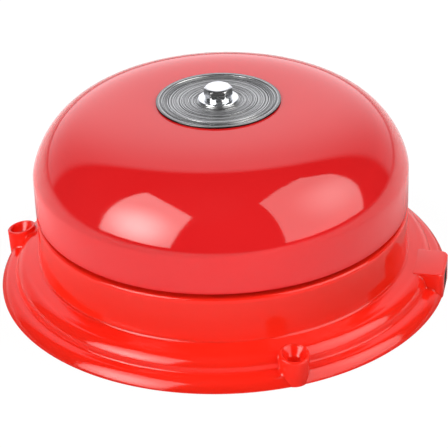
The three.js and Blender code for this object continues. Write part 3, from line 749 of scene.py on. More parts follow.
def base_shell():
    shell = turned("base_shell", BASE_OUTSIDE + rounded(BASE_INSIDE), 288, sharp=40)
    cutters = []
    for i, degrees in enumerate(LUG_ANGLES):
        angle = math.radians(degrees)
        at = (LUG_R * math.cos(angle), LUG_R * math.sin(angle), 0)
        cutters.append(bar(f"cut_lug{i}", 3.6, -2, 20, "Z", at))
    cutters.append(box("cut_channel", (71.0, -7.4, -2), (89.6, 7.4, 9.6)))
    cutters.append(box("cut_window", (-60, -6.5, 31.8), (-53, 6.5, 44)))
    cutters.append(bar("cut_fix", 1.7, 26, 29.5, "Z", (TERMINAL_X, 0, 0), segments=24))
    stands_for(carve(shell, cutters, sharp=40), "base_housing")


base_shell()


def lug_wall(z):
    """Radius of the lug's tapered wall at a height."""
    return LUG_FOOT_R + (LUG_TOP_R - LUG_FOOT_R) * z / LUG_TOP


def bell_radius(phi, distance):
    """Distance from the bell's axis of a point given round the lug's axis."""
    return math.hypot(LUG_R + distance * math.cos(phi), distance * math.sin(phi))


def lug_fillet(phi, turn):
    """Point of the fillet from lug to flange, fading out towards the flange's edge."""
    start, full, least = 5.72, 1.15, 0.03
    fade = min(max((BASE_R - 0.1 - bell_radius(phi, start + full)) / 2.2, 0.0), 1.0)
    fade = fade * fade * (3 - 2 * fade)
    radius = least + (full - least) * fade
    inner = lug_wall(flange_height(bell_radius(phi, start)) + 0.5)
    distance = inner + radius * (1 - math.cos(turn))
    height = flange_height(bell_radius(phi, distance)) + radius * (1 - math.sin(turn))
    return distance, max(height, 0.06)


def lug(index, angle):
    """A leaning cup with a countersunk through hole, its foot flowing into the flange."""
    lean = math.tan(math.radians(11))
    cup = [
        (2.6, 4.0), (2.6, LUG_TOP - 3.9),
        # soft edge into the countersink, then its cone
        *[(2.62 + 0.28 * t * t, LUG_TOP - 3.8 + 0.5 * t) for t in (0.0, 0.33, 0.66, 1.0)],
        *[(2.9 + 1.75 * t, LUG_TOP - 3.3 + 3.2 * t) for t in (0.25, 0.5, 0.75, 0.93)],
        *arc(4.95, LUG_TOP - 0.28, 0.28, range(180, 99, -20)),  # lip
        *arc(LUG_TOP_R - 0.5, LUG_TOP - 0.5, 0.5, range(90, -1, -18)),  # outer edge
        *[(lug_wall(z), z) for z in (10.4, 9.2)],
    ]

    def profile_at(phi):
        leaning = [(d, z - z / LUG_TOP * (d * math.cos(phi)) * lean) for d, z in cup]
        fillet = [lug_fillet(phi, math.radians(90 * k / 8)) for k in range(9)]
        d, z = fillet[-1]
        if bell_radius(phi, d) < BASE_R - 0.4:  # the foot is tucked under the flange's surface
            tuck = (d + 0.12, max(z - 0.35, 0.02))
        else:
            tuck = (d - 0.05, max(z - 0.04, 0.02))
        underside = [(LUG_FOOT_R - 0.1, 0.02), (LUG_FOOT_R - 0.25, 0.0)]
        return [(2.75, 0.0), (2.6, 0.15)] + leaning + fillet + [tuck] + underside

    verts, faces = skin(sweep(profile_at, 96), around=True)
    verts = rotate_z(place(verts, at=(LUG_R, 0, 0)), angle)
    joins_base(solid(f"base_lug_{index}", verts, faces, sharp=40))


for i, angle in enumerate(LUG_ANGLES):
    lug(i + 1, angle)


def cable_tab():
    """Flat-topped cable outlet, open underneath, with a round stepped hole in its end."""
    edge, corner_r, inner_x = 0.8, 3.0, 74.0
    levels = [(0.12, 0.0), (0.0, 0.12), (0, 3), (0, 6), (0, TAB_Z - edge)]  # inset, z
    levels += arc(edge, TAB_Z - edge, edge, range(162, 89, -18))
    rows = []
    for inset, z in levels:
        x1, y1, r = TAB_X - inset, TAB_Y - inset, corner_r - inset
        outline = [(inner_x, -y1)] + corner(x1 - r, r - y1, r, -90, 8)
        outline += corner(x1 - r, y1 - r, r, 0, 8) + [(inner_x, y1)]
        rows.append([(x, y, z) for x, y in outline])
    verts, rings = numbered(rows)
    faces = []
    for p, q in zip(rings, rings[1:]):
        for k in range(len(p)):
            k2 = (k + 1) % len(p)
            faces.append((p[k], p[k2], q[k2], q[k]))
    faces += [tuple(reversed(rings[0])), tuple(rings[-1])]
    tab = solid("base_cable_tab", verts, faces, sharp=40)
    hole = (0, 0, CABLE_Z)
    cutters = [
        box("cut_a", (60, -7.6, -2), (TAB_X - 2.4, 7.6, TAB_Z - 1.4)),
        bar("cut_b", 3.9, 84, 94, "X", hole, segments=64),
        bar("cut_c", 4.35, TAB_X - 0.5, 94, "X", hole, segments=64),
    ]
    joins_base(carve(tab, cutters, sharp=40))


def tab_fillet(index, side):
    """Concave fillet along one side of the tab, where it meets the flange."""
    x0, x1, steps = 77.2, 89.0, 40
    top, hidden_y, depth = TAB_Z - 0.3, 9.6, 0.4
    rows = []
    for i in range(steps + 1):
        x = x0 + (x1 - x0) * i / steps
        radius = 0.8 * min(1, (89.2 - x) / 2.0, (x - 76.9) / 0.8) + 0.02
        row = []
        for k in range(9):
            turn = math.radians(90 * k / 8)
            y = TAB_Y + radius * (1 - math.cos(turn))
            z = flange_height(math.hypot(x, y)) + radius * (1 - math.sin(turn))
            row.append((x, side * y, min(z, top)))
        y = TAB_Y + radius
        beside = flange_height(math.hypot(x, TAB_Y))
        row.append((x, side * y, flange_height(math.hypot(x, y)) - depth))
        row.append((x, side * hidden_y, beside - depth))
        row.append((x, side * hidden_y, min(beside + radius, top)))
        rows.append(row)
    name = f"base_tab_fillet_{index}"
    joins_base(solid(name, *skin(rows, caps=True), sharp=40))


cable_tab()
tab_fillet(1, -1)
tab_fillet(2, 1)

for i, (x, y) in enumerate(CORNERS):
    profile = [
        (1.7, HIGH_SEAT_Z, 0.2), (4.0, HIGH_SEAT_Z, 0.3), (4.2, 57.5, 0.4), (6.0, 59.7), (1.7, 59.7)
    ]
    joins_base(lathe(f"base_post_{i + 1}", profile, 48, at=(x, y, 0)))

lathe_part("grommet", "cable_grommet", 64, [
    (2.95, -2.9, 0.2), (4.2, -2.9, 0.3), (4.2, -2.0, 0.1), (3.6, -2.0, 0.1),
    (3.6, 0.02, 0.1), (4.2, 0.02, 0.1), (4.2, 0.48, 0.3), (2.95, 0.48, 0.25),
], "X", (TAB_X - 0.5, 0, CABLE_Z))


# ----------------------------------------------------------------- disc, washers, bolt on the crown
def disc():
    """Thin disc with a raised rim and a grooved face."""
    rim_r, low, face = 24.6, CROWN_Z, CROWN_Z + 0.58
    points = [(3.5, low), (rim_r - 0.15, low), (rim_r, low + 0.15), (rim_r, low + 0.5)]
    points += arc(rim_r - 0.3, low + 0.5, 0.3, range(0, 91, 30))
    points += [(rim_r - 1.15, low + 0.8), (rim_r - 1.35, low + 0.74), (rim_r - 1.5, low + 0.56)]
    # grooves about a millimetre apart, a little uneven, finer near the rim
    groove = ((0.0, 0.0), (0.22, 0.75), (0.38, 1), (0.54, 0.75), (0.76, 0.0))  # pitch, depth
    r = rim_r - 1.6
    i = 0
    while r > 4.6:
        pitch = 0.62 if r > rim_r - 4.2 else 0.98 + 0.10 * math.sin(i * 1.7)
        depth = 0.15 if i % 3 else 0.19
        points += [(r - along * pitch, face - depth * down) for along, down in groove]
        r -= pitch
        i += 1
    points.append((3.5, face))
    stands_for(turned("disc_turned", points, 224, sharp=24), "gong_disc")


disc()
lathe_part("crown_washer", "gong_washer", 96, [
    (3.4, CROWN_Z + 0.6, 0.1), (8.0, CROWN_Z + 0.6, 0.1),
    (8.0, CROWN_Z + 1.6, 0.28), (3.4, CROWN_Z + 1.6, 0.15),
])


def split_washer():
    """Spring lock washer: a square-section ring cut through, its ends slightly sprung."""
    section = [  # r, height
        (3.3, 0.09), (3.42, 0.0), (5.15, 0.0), (5.3, 0.12),
        (5.3, 0.66), (5.15, 0.8), (3.42, 0.8), (3.3, 0.68),
    ]
    steps = 88
    rows = []
    for i in range(steps + 1):
        t = i / steps
        angle = math.radians(40 + 352 * t)
        rise = 0.04 * (t - 0.5)
        row = []
        for r, height in section:
            z = CROWN_Z + 1.65 + height + rise * (0.5 if height < 0.4 else 1)
            row.append((r * math.cos(angle), r * math.sin(angle), z))
        rows.append(row)
    washer = solid("crown_lock_washer", *skin(rows, caps=True), sharp=40)
    stands_for(washer, "gong_lock_washer")


split_washer()


def hex_radius(half_flats, phi):
    """Distance from the axis of a sharp hexagon's side."""
    return half_flats / math.cos(phi % (math.pi / 3) - math.pi / 6)


def hex_bolt():
    """Hexagon head with rounded corners, top chamfer and washer face, over a threaded shank."""
    seat, height = CROWN_Z + 2.5, 3.9
    top = seat + height
    half_flats, corner_r, cap_r = 5.0, 5.62, 4.62
    slope = math.tan(math.radians(32))
    ridge = (  # drop, radius
        (0.0, 2.93), (0.12, 2.95), (0.3, 2.62), (0.5, 2.5), (0.7, 2.62), (0.88, 2.95),
    )
    shank = [(4.75, seat + 0.28), (4.7, seat + 0.02), (2.95, seat)]
    shank += [(r, seat - i - drop) for i in range(1, 19) for drop, r in ridge]
    shank += [(2.9, seat - 18.9), (2.3, seat - 19.5)]

    def profile_at(phi):
        side = hex_radius(half_flats, phi)
        side -= max(0.0, side - corner_r) * 0.85
        drop = max(0.12, (side - cap_r) * slope)
        return [
            (2.0, top - 0.01), (cap_r - 0.35, top), (cap_r - 0.1, top - 0.015),
            (cap_r + 0.08, top - 0.1), (side - 0.08, top - drop), (side, top - drop - 0.09),
            (side, seat + 0.5), (side - 0.04, seat + 0.36), (min(side - 0.1, 5.0), seat + 0.3),
        ] + shank

    rows = sweep(profile_at, 144, phase=0.0001)
    rows = [[(0, 0, top - 0.02)]] + rows + [[(0, 0, seat - 19.5)]]
    verts, faces = skin(rows)
    stands_for(solid("crown_bolt", rotate_z(verts, 11), faces, sharp=30), "gong_bolt")


hex_bolt()

lathe_part("cushion_washer", "gong_cushion_washer", 72, [
    (3.4, CROWN_Z - 2.8, 0.15), (9.0, CROWN_Z - 2.8, 0.25),
    (9.0, CROWN_Z - 1.6, 0.25), (3.4, CROWN_Z - 1.6, 0.15),
])
lathe_part("post_stud", "gong_post", 72, [
    (3.35, 52.4), (4.2, 52.4), *thread(4.7, 4.25, 52.8, 61.8, 1.0),
    (4.6, 62.0), (9.0, 62.0, 0.2), (9.0, 64.6, 0.5), (8.4, 65.0, 0.2), (6.5, 65.0, 0.5),
    (6.5, CROWN_Z - 2.8, 0.3), (3.35, CROWN_Z - 2.8, 0.2),
])
lathe_part("post_plain_washer", "post_washer", 72, [
    (5.0, 58.1, 0.1), (10.0, 58.1, 0.25), (10.0, 59.5, 0.15), (5.0, 59.5, 0.1),
])


def hex_nut(name, node, across_flats, z0, z1, bore, axis="Z", at=ORIGIN):
    half = across_flats / 2
    cap_r, slope = half * 0.95, math.tan(math.radians(30))

    def profile_at(phi):
        side = min(hex_radius(half, phi), half * 1.13)
        drop = (side - cap_r) * slope
        return [
            (bore, z0 + 0.3), (bore + 0.3, z0), (cap_r, z0), (side, z0 + drop + 0.05),
            (side, z1 - drop - 0.05), (cap_r, z1), (bore + 0.3, z1), (bore, z1 - 0.3),
        ]

    verts, faces = skin(sweep(profile_at, 120), around=True)
    stands_for(solid(name, place(verts, axis, at), faces, sharp=28), node)


hex_nut("post_hex_nut", "post_nut", across_flats=17, z0=53.5, z1=58.1, bore=5.0)

# ----------------------------------------------------------------- screws
HEAD_UP = {
    "Z": Matrix.Identity(4),
    "-Z": Matrix.Rotation(math.pi, 4, "X"),
    "-X": Matrix.Rotation(-math.pi / 2, 4, "Y"),
}


def screw(name, node, at, up, head, shank, turn, slot=0.9):
    """Cheese-head screw, domed and slotted. head is (radius, height), shank (radius, length)."""
    head_r, height = head
    shank_r, length = shank
    profile = [
        (0, -length), (shank_r * 0.6, -length), (shank_r * 0.92, -length + 0.5),
        *thread(shank_r, shank_r * 0.84, -length + 0.6, -0.2, 0.5),
        (shank_r, -0.05), (shank_r, 0.0), (head_r - 0.1, 0.0), (head_r, 0.12),
        (head_r, height * 0.72),
        *arc(head_r * 0.8, height * 0.72, head_r * 0.2, range(18, 91, 18), height * 0.28),
        (head_r * 0.5, height), (0, height),
    ]
    ob = turned(name, profile, 40, sharp=30)
    low, high = (-head_r - 1, -slot / 2, height * 0.5), (head_r + 1, slot / 2, height + 1)
    carve(ob, [box("cut_slot", low, high)], sharp=30)
    move = Matrix.Translation(Vector(at) * MM)
    ob.data.transform(move @ HEAD_UP[up] @ Matrix.Rotation(turn, 4, "Z"))
    ob.data.update()
    stands_for(ob, node)


MIDDLE_HEAD = (2.9, 1.8)
for i, (x, y) in enumerate(CORNERS):
    screw(
        f"plate_fixing_{i + 1}", f"plate_screw_{i + 1}", (x, y, LOW_SEAT_Z), "-Z",
        head=(3.3, 2.2), shank=(1.35, 7.4), turn=0.5 * i,
    )
for i, side in enumerate((1, -1)):
    screw(
        f"yoke_fixing_{i + 1}", f"yoke_screw_{i + 1}", (-24, 8 * side, HIGH_SEAT_Z), "Z",
        head=MIDDLE_HEAD, shank=(1.25, 4.1), turn=0.7 * side,
    )
    screw(
        f"terminal_fixing_{i + 1}", f"terminal_screw_{i + 1}",
        (TERMINAL_X, TERMINAL_Y * side, 15.4), "-Z",
        head=MIDDLE_HEAD, shank=(1.2, 1.9), turn=0.5 * i, slot=0.8,
    )
screw(
    "block_fixing", "contact_block_screw", (26, CONTACT_Y, HIGH_SEAT_Z), "Z",
    head=MIDDLE_HEAD, shank=(1.25, 7.9), turn=0.3,
)
screw(
    "terminal_block_fixing", "terminal_block_screw", (TERMINAL_X, 0, 15.0), "-Z",
    head=(2.3, 1.8), shank=(1.35, 13.4), turn=0.2,
)
screw(
    "carrier_fixing", "leaf_carrier_screw", (18.3, 30.0, AXIS_Z), "-X",
    head=(1.5, 1.3), shank=(0.95, 5.9), turn=0.0, slot=0.6,
)

# ----------------------------------------------------------------- solenoid and striker
lathe_part("bush", "rod_guide_bush", 56, [
    (1.85, -2, 0.2), (4.6, -2, 0.4), (4.6, 0, 0.2), (3.1, 0, 0.1), (3.1, 3, 0.3), (1.85, 3, 0.2),
], "X", (-48, 0, AXIS_Z))
lathe_part("bobbin", "coil_bobbin", 72, [
    (5.9, COIL_X0, 0.2), (9.7, COIL_X0, 0.35), (9.7, COIL_X0 + 1.4, 0.35),
    (6.9, COIL_X0 + 1.4, 0.25), (6.9, COIL_X1 - 1.4, 0.25), (9.7, COIL_X1 - 1.4, 0.35),
    (9.7, COIL_X1, 0.35), (5.9, COIL_X1, 0.2),
], *SOLENOID)


def winding():
    """Top layer of the coil, turn by turn."""
    x0, x1 = COIL_X0 + 1.5, COIL_X1 - 1.5
    core_r, groove_r, crown = 7.05, 8.62, 0.26
    turns, steps = 74, 5
    pitch = (x1 - x0) / turns
    points = [(core_r, x0)]
    for i in range(turns):
        for k in range(steps):
            t = (k + 0.5) / steps
            points.append((groove_r + crown * math.sin(math.pi * t), x0 + (i + t) * pitch))
    points.append((core_r, x1))
    stands_for(turned("coil_turns", points, 72, *SOLENOID, sharp=80), "coil_winding")


winding()


def tape_wrap():
    """A band of tape round the coil, its free end showing as a step."""
    middle, half_width, inner_r = (COIL_X0 + COIL_X1) / 2, 9, 9.0
    x0, x1 = middle - half_width, middle + half_width
    thick, overlap, fall = 0.16, 0.16, 0.008  # the overlap and its fall are parts of a turn
    steps = 128
    rows = []
    for i in range(steps):
        t = i / steps
        step = 0.0
        if t < overlap:
            step = thick
        elif t < overlap + fall:
            step = thick * (1 - (t - overlap) / fall)
        crease = 0.035 * noise.noise(Vector((t * 9, 3.1, 0)))
        r = 9.30 + step + crease
        section = [
            (x0, inner_r), (x0, r - 0.05), (x0 + 0.12, r), (middle, r + 0.02),
            (x1 - 0.12, r), (x1, r - 0.05), (x1, inner_r),
        ]
        rows.append([around_striker(x, reach, 2 * math.pi * t) for x, reach in section])
    stands_for(solid("coil_tape_band", *skin(rows, around=True), sharp=40), "coil_wrap")


tape_wrap()
lathe_part("sleeve", "guide_tube", 64, [
    (4.85, -34.1, 0.15), (5.6, -34.1, 0.2), (5.6, 6.9, 0.2), (4.85, 6.9, 0.15),
], *SOLENOID)
lathe_part("pole", "pole_piece", 56, [
    (1.95, -38.3, 0.2), (6.6, -38.3, 0.5), (6.6, -36.8, 0.2),
    (4.5, -36.8, 0.1), (4.5, -22, 0.3), (1.95, -22, 0.3),
], *SOLENOID)
lathe_part("plunger_core", "plunger", 64, [
    (0, -16.4), (4.4, -16.4, 0.6), (4.4, 15.6, 0.12), (3.5, 15.6, 0.1),
    (3.5, 16.6, 0.1), (4.4, 16.6, 0.12), (4.4, 19, 0.5), (0, 19),
], *SOLENOID)
lathe_part("striker_rod", "push_rod", 40, [
    (0, -64.8), (1.5, -64.8, 0.3), (1.5, -16.4, 0.1), (0, -16.4),
], *SOLENOID)
lathe_part("striker_head", "striker_tip", 64, [
    (0, -68.2), (1.6, -68.2, 1.2), (3.1, -67.7, 1.6), (4.0, -66.2, 1.0), (4.0, -60.9, 0.5),
    (3.4, -60.0, 0.4), (1.85, -60, 0.2), (1.85, -64.9), (0, -64.9),
], *SOLENOID, fillet_steps=6)
lathe_part("collar", "spring_collar", 64, [
    (4.8, 14.1, 0.15), (8.3, 14.1, 0.3), (8.3, 15.5, 0.3), (4.8, 15.5, 0.15),
], *SOLENOID)


def retaining_clip():
    """A sprung ring in the plunger's groove, open on one side and narrowing at its ends."""
    steps = 72
    rows = []
    for i in range(steps + 1):
        t = i / steps
        angle = math.radians(-140 + 320 * t)
        full = min(1.0, min(t, 1 - t) / 0.05)
        r0, r1 = 3.85 + 0.35 * (1 - full), 5.3 + 0.75 * full
        section = [
            (15.7, r0), (15.65, r0 + 0.1), (15.65, r1 - 0.12), (15.72, r1),
            (16.38, r1), (16.45, r1 - 0.12), (16.45, r0 + 0.1), (16.4, r0),
        ]
        rows.append([around_striker(x, r, angle) for x, r in section])
    stands_for(solid("retaining_clip", *skin(rows, caps=True), sharp=40), "plunger_clip")


retaining_clip()


def spring():
    """Compression spring with closed ends, built at one length; the real one shortens as the
    striker moves out.
    """
    x0, x1, coil_r, wire_r = 5.3, 13.65, 7.2, 0.45
    turns, steps = 5.0, 300
    closed = 0.75 / turns  # part of the wire in each closed end
    closed_rise = 0.10
    points = []
    for i in range(steps + 1):
        t = i / steps
        if t < closed:
            along = closed_rise * t
        elif t > 1 - closed:
            along = 1 - closed_rise * (1 - t)
        else:
            open_part = (1 - 2 * closed_rise * closed) * (t - closed) / (1 - 2 * closed)
            along = closed_rise * closed + open_part
        points.append(around_striker(x0 + (x1 - x0) * along, coil_r, 2 * math.pi * turns * t))
    ob = tube("return_spring_wire", points, wire_r, 14)
    stands_for(ob, "return_spring")
    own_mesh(ob)


spring()


def actuator():
    """A round cap on the plunger with a flat finger reaching out along +Y."""
    profile = [(0, 0), (5.4, 0, 0.3), (5.4, 3.0, 0.9), (4.4, 3.4, 0.6), (0, 3.4)]
    cap = lathe("contact_actuator", profile, 64, "X", (19.05, 0, AXIS_Z))
    x0, x1, z0, z1, r = 19.55, 21.95, AXIS_Z - 1.6, AXIS_Z + 1.6, 0.35
    outline = corner(x1 - r, z0 + r, r, -90, 4) + corner(x1 - r, z1 - r, r, 0, 4)
    outline += corner(x0 + r, z1 - r, r, 90, 4) + corner(x0 + r, z0 + r, r, 180, 4)
    centre_x = 20.75
    rows = []
    for y, size in [(2.0, 1.0), (4.0, 1.0), (12.1, 1.0), (12.35, 0.93), (12.5, 0.82)]:
        rows.append([
            (centre_x + (x - centre_x) * size, y, AXIS_Z + (z - AXIS_Z) * size)
            for x, z in outline
        ])
    finger = solid("cut_finger", *skin(rows, caps=True), sharp=40)
    stands_for(carve(cap, [finger], sharp=40, operation="UNION"), "actuator_arm")


actuator()

# ----------------------------------------------------------------- contacts
lathe_part("leaf_rivet", "leaf_contact", 40, [
    (0, 0), (1.9, 0), (1.9, 0.35, 0.15), (1.2, 0.65, 0.8), (0, 0.65),
], "X", (19.2, CONTACT_Y, AXIS_Z))


def adjuster():
    """Contact screw: stepped tip, threaded body and a knurled, slotted head."""
    profile = [
        (0, 20.0), (0.9, 20.0), (1.25, 20.2), (1.3, 20.6), (1.45, 20.8),
        *thread(1.7, 1.45, 20.9, 37.8, 0.6),
        (1.7, 37.95), (3.5, 38.0), (3.75, 38.25), (3.75, 40.9), (3.4, 41.5), (0, 41.6),
    ]
    segments, knurl_from_r = 96, 3.7
    verts, faces = revolve(profile, segments)
    knurled = []
    for x, y, z in verts:
        r = math.hypot(x, y)
        if r > knurl_from_r:
            k = round(math.atan2(y, x) / (2 * math.pi) * segments)
            scale = (r + (0.05 if k % 4 < 2 else -0.17)) / r
            x, y = x * scale, y * scale
        knurled.append((x, y, z))
    knurled = place(knurled, "X", (0, CONTACT_Y, AXIS_Z))
    ob = solid("contact_adjuster", knurled, faces, sharp=28)
    low, high = (40.4, CONTACT_Y - 5, AXIS_Z - 0.5), (43, CONTACT_Y + 5, AXIS_Z + 0.5)
    stands_for(carve(ob, [box("cut_s", low, high)], sharp=28), "contact_screw")


adjuster()
hex_nut(
    "adjuster_lock_nut", "contact_lock_nut", across_flats=7, z0=33.0, z1=35.6, bore=2.05,
    axis="X", at=(0, CONTACT_Y, AXIS_Z),
)

# ----------------------------------------------------------------- wiring
LEAD_R = 0.8
LEADS = [  # object, node, points of the path (x, y, z)
    ("lead_coil_a", "coil_lead_1", [
        (-8, 9.8, 31.6), (-4, 14.5, 29.5), (8, 18.5, 27.5),
        (20, 19.2, 27.6), (27, 19, 29.5), (28.5, 19, 32.8),
    ]),
    ("lead_coil_b", "coil_lead_2", [
        (-8, -9.8, 31.6), (-3, -15, 28.5), (12, -20, 24),
        (32, -18, 19), (46, -10.5, 17.2), (57.3, -TERMINAL_Y, 18.5),
    ]),
    ("lead_contact", "contact_lead", [
        (18.8, 30.4, 29.7), (20, 30, 25.5), (30, 25, 21), (43, 12.5, 18),
        (57.3, TERMINAL_Y, 18.5),
    ]),
]
for name, node, points in LEADS:
    stands_for(tube(name, spline(points, 14), LEAD_R, 18), node)

lathe_part("suppressor_diode", "suppressor", 48, [
    (0, -9.5), (0.4, -9.5, 0.05), (0.4, -4.1), (1.5, -3.9, 0.3), (1.9, -3.2, 0.5),
    (1.9, 3.2, 0.5), (1.5, 3.9, 0.3), (0.4, 4.1), (0.4, 9.5, 0.05), (0, 9.5),
], "Y", (TERMINAL_X, 0, 10.9))

# ----------------------------------------------------------------- CAD nodes that stay
EDGE_WIDTH = {
    "mechanism_plate": 0.30,
    "yoke_frame": 0.35,
    "yoke_bar": 0.40,
    "contact_block": 0.40,
    "leaf_carrier": 0.15,
    "contact_leaf": 0.08,
    "terminal_block": 0.45,
    "terminal_clamp_1": 0.30,
    "terminal_clamp_2": 0.30,
}


def soften(node, ob):
    """Full material and bevelled edges on a CAD piece."""
    dress(ob, SLOT_OF[node])
    weld = ob.modifiers.new("weld", "WELD")
    weld.merge_threshold = 2e-6
    bevel = ob.modifiers.new("edge", "BEVEL")
    bevel.width = EDGE_WIDTH.get(node, 0.2) * MM
    bevel.segments = 3
    bevel.limit_method = "ANGLE"
    bevel.angle_limit = math.radians(40)
    ob.data.shade_smooth()
    normals = ob.modifiers.new("normals", "WEIGHTED_NORMAL")
    normals.keep_sharp = True


for node, ob in frame["nodes"].items():
    if not ob.hide_render:
        soften(node, ob)

# ----------------------------------------------------------------- camera
# Above the bell on its -Y side, looking down at it through a long lens.
CAMERA_AT = Vector((0.1544974, -0.6545727, 0.4016563))
right = Vector((0.9767196, 0.2124363, -0.0297392)).normalized()
forward = Vector((-0.1992551, 0.8471454, -0.492594))
forward = (forward - right * forward.dot(right)).normalized()


def camera():
    data = bpy.data.cameras.new("camera")
    ob = new_object("camera", data)
    data.sensor_width = 36.0
    data.lens = 152.449554
    data.clip_start = 0.02
    data.clip_end = 100
    matrix = Matrix((right, right.cross(forward), -forward)).transposed().to_4x4()
    matrix.translation = CAMERA_AT
    ob.matrix_world = matrix
    scene.camera = ob


camera()

# ----------------------------------------------------------------- softboxes


def aim(azimuth, elevation):
    """Unit direction; azimuth from -Y towards +X, elevation above the floor."""
    a, e = math.radians(azimuth), math.radians(elevation)
    return Vector((math.sin(a) * math.cos(e), -math.cos(a) * math.cos(e), math.sin(e)))


def panel_corners(facing, distance, rays):
    """Where rays (start in mm, azimuth, elevation) meet a panel square-on to `facing`."""
    normal = aim(*facing)
    out = []
    for start, azimuth, elevation in rays:
        origin, ray = Vector(start) * MM, aim(azimuth, elevation)
        out.append(origin + ray * ((distance - origin.dot(normal)) / ray.dot(normal)))
    return out


def softbox(name, corners, power, heart_at, heart_gain, heart_size, diffuse_share):
    """A flat glowing panel with a brighter heart, weaker for diffuse rays. In metres."""
    mesh = bpy.data.meshes.new(name)
    mesh.from_pydata(corners, [], [tuple(range(len(corners)))])
    ob = new_object(name, mesh)
    material = bpy.data.materials.new(name)
    g = Graph(material)
    distance = g.vector("DISTANCE", g.coord.outputs["Object"], tuple(heart_at))
    glow = g.remap(distance, (0.0, heart_size), (power * heart_gain, power), smooth=True)
    share = g.remap(g.ray("Is Diffuse Ray"), source=(0.0, 1.0), to=(1.0, diffuse_share))
    inputs = {"Strength": g.times(glow, share), "Color": (1, 0.985, 0.97)}
    g.add("OutputMaterial", {0: g.add("Emission", inputs).outputs[0]})
    mesh.materials.append(material)
    ob.visible_camera = False


LEFT_RAYS = [
    ((-13.6, -62.0, 67.8), -66.4, 59.1), ((4.7, -68.5, 62.5), -8.9, 45.1),
    ((-2.7, -73.8, 53.2), -17.1, 4.0), ((-31.3, -66.5, 54.1), -61.6, 3.0),
]
RIGHT_RAYS = [
    ((28.0, -59.7, 65.6), 47.4, 58.4), ((36.0, -52.0, 68.5), 84.0, 66.0),
    ((40.5, -44.6, 70.1), 115.0, 62.0), ((50.6, -37.6, 68.1), 117.1, 47.1),
    ((60.2, -33.6, 62.1), 109.7, 22.8), ((63.2, -37.3, 54.3), 102.2, 2.3),
    ((38.3, -63.0, 53.6), 48.9, 3.5),
]
softbox(
    "softbox_left",
    panel_corners(facing=(-38, 26), distance=1.1, rays=LEFT_RAYS),
    power=5.2, heart_at=aim(-38, 24) * 1.15, heart_gain=2.6, heart_size=0.50,
    diffuse_share=0.20,
)
softbox(
    "softbox_right",
    panel_corners(facing=(78, 26), distance=1.1, rays=RIGHT_RAYS),
    power=3.3, heart_at=aim(88, 34) * 1.2, heart_gain=1.75, heart_size=0.55,
    diffuse_share=0.30,
)


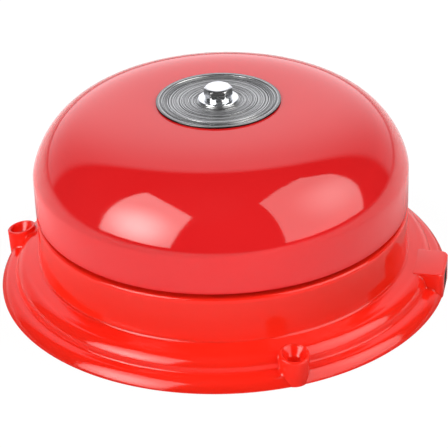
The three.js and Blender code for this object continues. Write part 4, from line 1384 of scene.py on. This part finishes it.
# ----------------------------------------------------------------- world
def studio_world():
    """White to the camera; a bright oval sheet behind the bell in reflections; soft fill."""
    world = bpy.data.worlds.new("studio")
    scene.world = world
    g = Graph(world)
    away = Vector((forward.x, forward.y, 0)).normalized()  # level, away from the camera
    sideways = Vector((away.y, -away.x, 0))  # to the camera's right
    direction = g.coord.outputs["Generated"]
    back = g.vector("DOT_PRODUCT", direction, tuple(away))
    side = g.vector("DOT_PRODUCT", direction, tuple(sideways))
    up = g.vector("DOT_PRODUCT", direction, (0, 0, 1))

    def ramp(value, source, to):
        return g.remap(value, source, to, smooth=True)

    # reflections: the sheet's half width and half height are for a distance of 1
    half_width, half_height = 1.7, 2.25
    depth = g.math("MAXIMUM", back, 0.001)
    u = g.math("DIVIDE", g.math("DIVIDE", side, depth), half_width)
    v = g.math("DIVIDE", g.math("DIVIDE", up, depth), half_height)
    oval = g.plus(g.times(u, u), g.times(v, v))
    sheet = g.times(
        ramp(oval, source=(1.35, 0.70), to=(0.0, 1.0)),
        ramp(back, source=(0.0, 0.08), to=(0.0, 1.0)),
    )
    across = ramp(g.math("ABSOLUTE", side), source=(0.15, 0.85), to=(1.38, 0.60))
    upward = g.plus(
        ramp(up, source=(0.0, 0.35), to=(1.14, 0.97)),
        ramp(up, source=(0.55, 0.8), to=(0.0, -0.06)),
    )
    room, ground = 0.035, 0.7  # glow of the dark room and of everything below the horizon
    below = g.times(ramp(up, source=(0.0, -0.02), to=(0.0, 1.0)), ground)
    sheet = g.times(sheet, g.times(across, upward))
    reflected = g.plus(room, g.math("MAXIMUM", sheet, below))

    # fill light: an even base, then more from the back and from either side
    even, from_back, from_left, from_right = 0.15, 0.14, 0.85, 0.45
    fill = g.plus(even, g.times(ramp(back, source=(-0.5, 0.5), to=(0.0, 1.0)), from_back))
    left = ramp(side, source=(-0.45, -0.98), to=(0.0, 1.0))
    fill = g.plus(fill, g.times(left, from_left))
    fill = g.plus(fill, g.times(ramp(side, source=(0.55, 0.98), to=(0.0, 1.0)), from_right))

    path = g.add("LightPath").outputs
    strength = g.mix_number(path["Is Glossy Ray"], fill, reflected)
    strength = g.mix_number(path["Is Camera Ray"], strength, 1.0)
    inputs = {"Color": (0.985, 0.985, 1.03), "Strength": strength}
    g.add("OutputWorld", {0: g.add("Background", inputs).outputs[0]})


studio_world()


def overhead_light():
    """Round lamp above the bell, left out of reflections."""
    data = bpy.data.lights.new("overhead", "AREA")
    data.shape, data.size, data.energy = "DISK", 1.4, 6.6
    ob = new_object("overhead", data)
    direction = aim(azimuth=-15, elevation=60)
    ob.location = direction * 1.6
    ob.rotation_mode = "QUATERNION"
    ob.rotation_quaternion = (-direction).to_track_quat("-Z", "Y")
    ob.visible_glossy = False
    ob.visible_camera = False


overhead_light()


# ----------------------------------------------------------------- floor
def floor_material():
    """Near-white to the camera, with painted shade round the bell and painted light glowing inside
    it, clear from below.
    """
    material = bpy.data.materials.new("floor")
    g = Graph(material)
    radius = g.vector("LENGTH", g.coord.outputs["Object"])
    # Painted shade: the floor's colour darkens round the bell, like a contact shadow.
    tone = g.remap(radius, source=(0.095, 0.132), to=(0.32, 0.88), smooth=True)
    inside_bell = g.math("LESS_THAN", radius, 0.080)
    diffuse_change, camera_share = -0.2, 0.93
    dimming = g.math("MULTIPLY_ADD", g.ray("Is Diffuse Ray"), diffuse_change, 1.0)
    matt = g.add("BsdfDiffuse", {"Color": g.times(tone, dimming)}).outputs[0]
    white = g.add("Emission", {"Strength": 1.05}).outputs[0]
    seen = g.mix_shader(g.times(g.ray("Is Camera Ray"), camera_share), matt, white)
    # Painted light: inside the bell's outline the floor glows to light the hollow from below.
    glow = g.add("Emission", {"Strength": 0.8}).outputs[0]
    upper = g.mix_shader(inside_bell, seen, glow)
    clear = g.add("BsdfTransparent").outputs[0]
    underneath = g.add("NewGeometry").outputs["Backfacing"]
    g.add("OutputMaterial", {0: g.mix_shader(underneath, upper, clear)})
    return material


def floor():
    half = 8.0
    mesh = bpy.data.meshes.new("floor")
    corners = [(-half, -half, 0), (half, -half, 0), (half, half, 0), (-half, half, 0)]
    mesh.from_pydata(corners, [], [(0, 1, 2, 3)])
    ob = new_object("floor", mesh)
    ob.location.z = -0.00005
    mesh.materials.append(floor_material())


floor()

scene.view_settings.view_transform = "Standard"
scene.view_settings.look = "None"
scene.view_settings.exposure = 0.0
scene.view_settings.gamma = 1.0

bpy.context.view_layer.update()
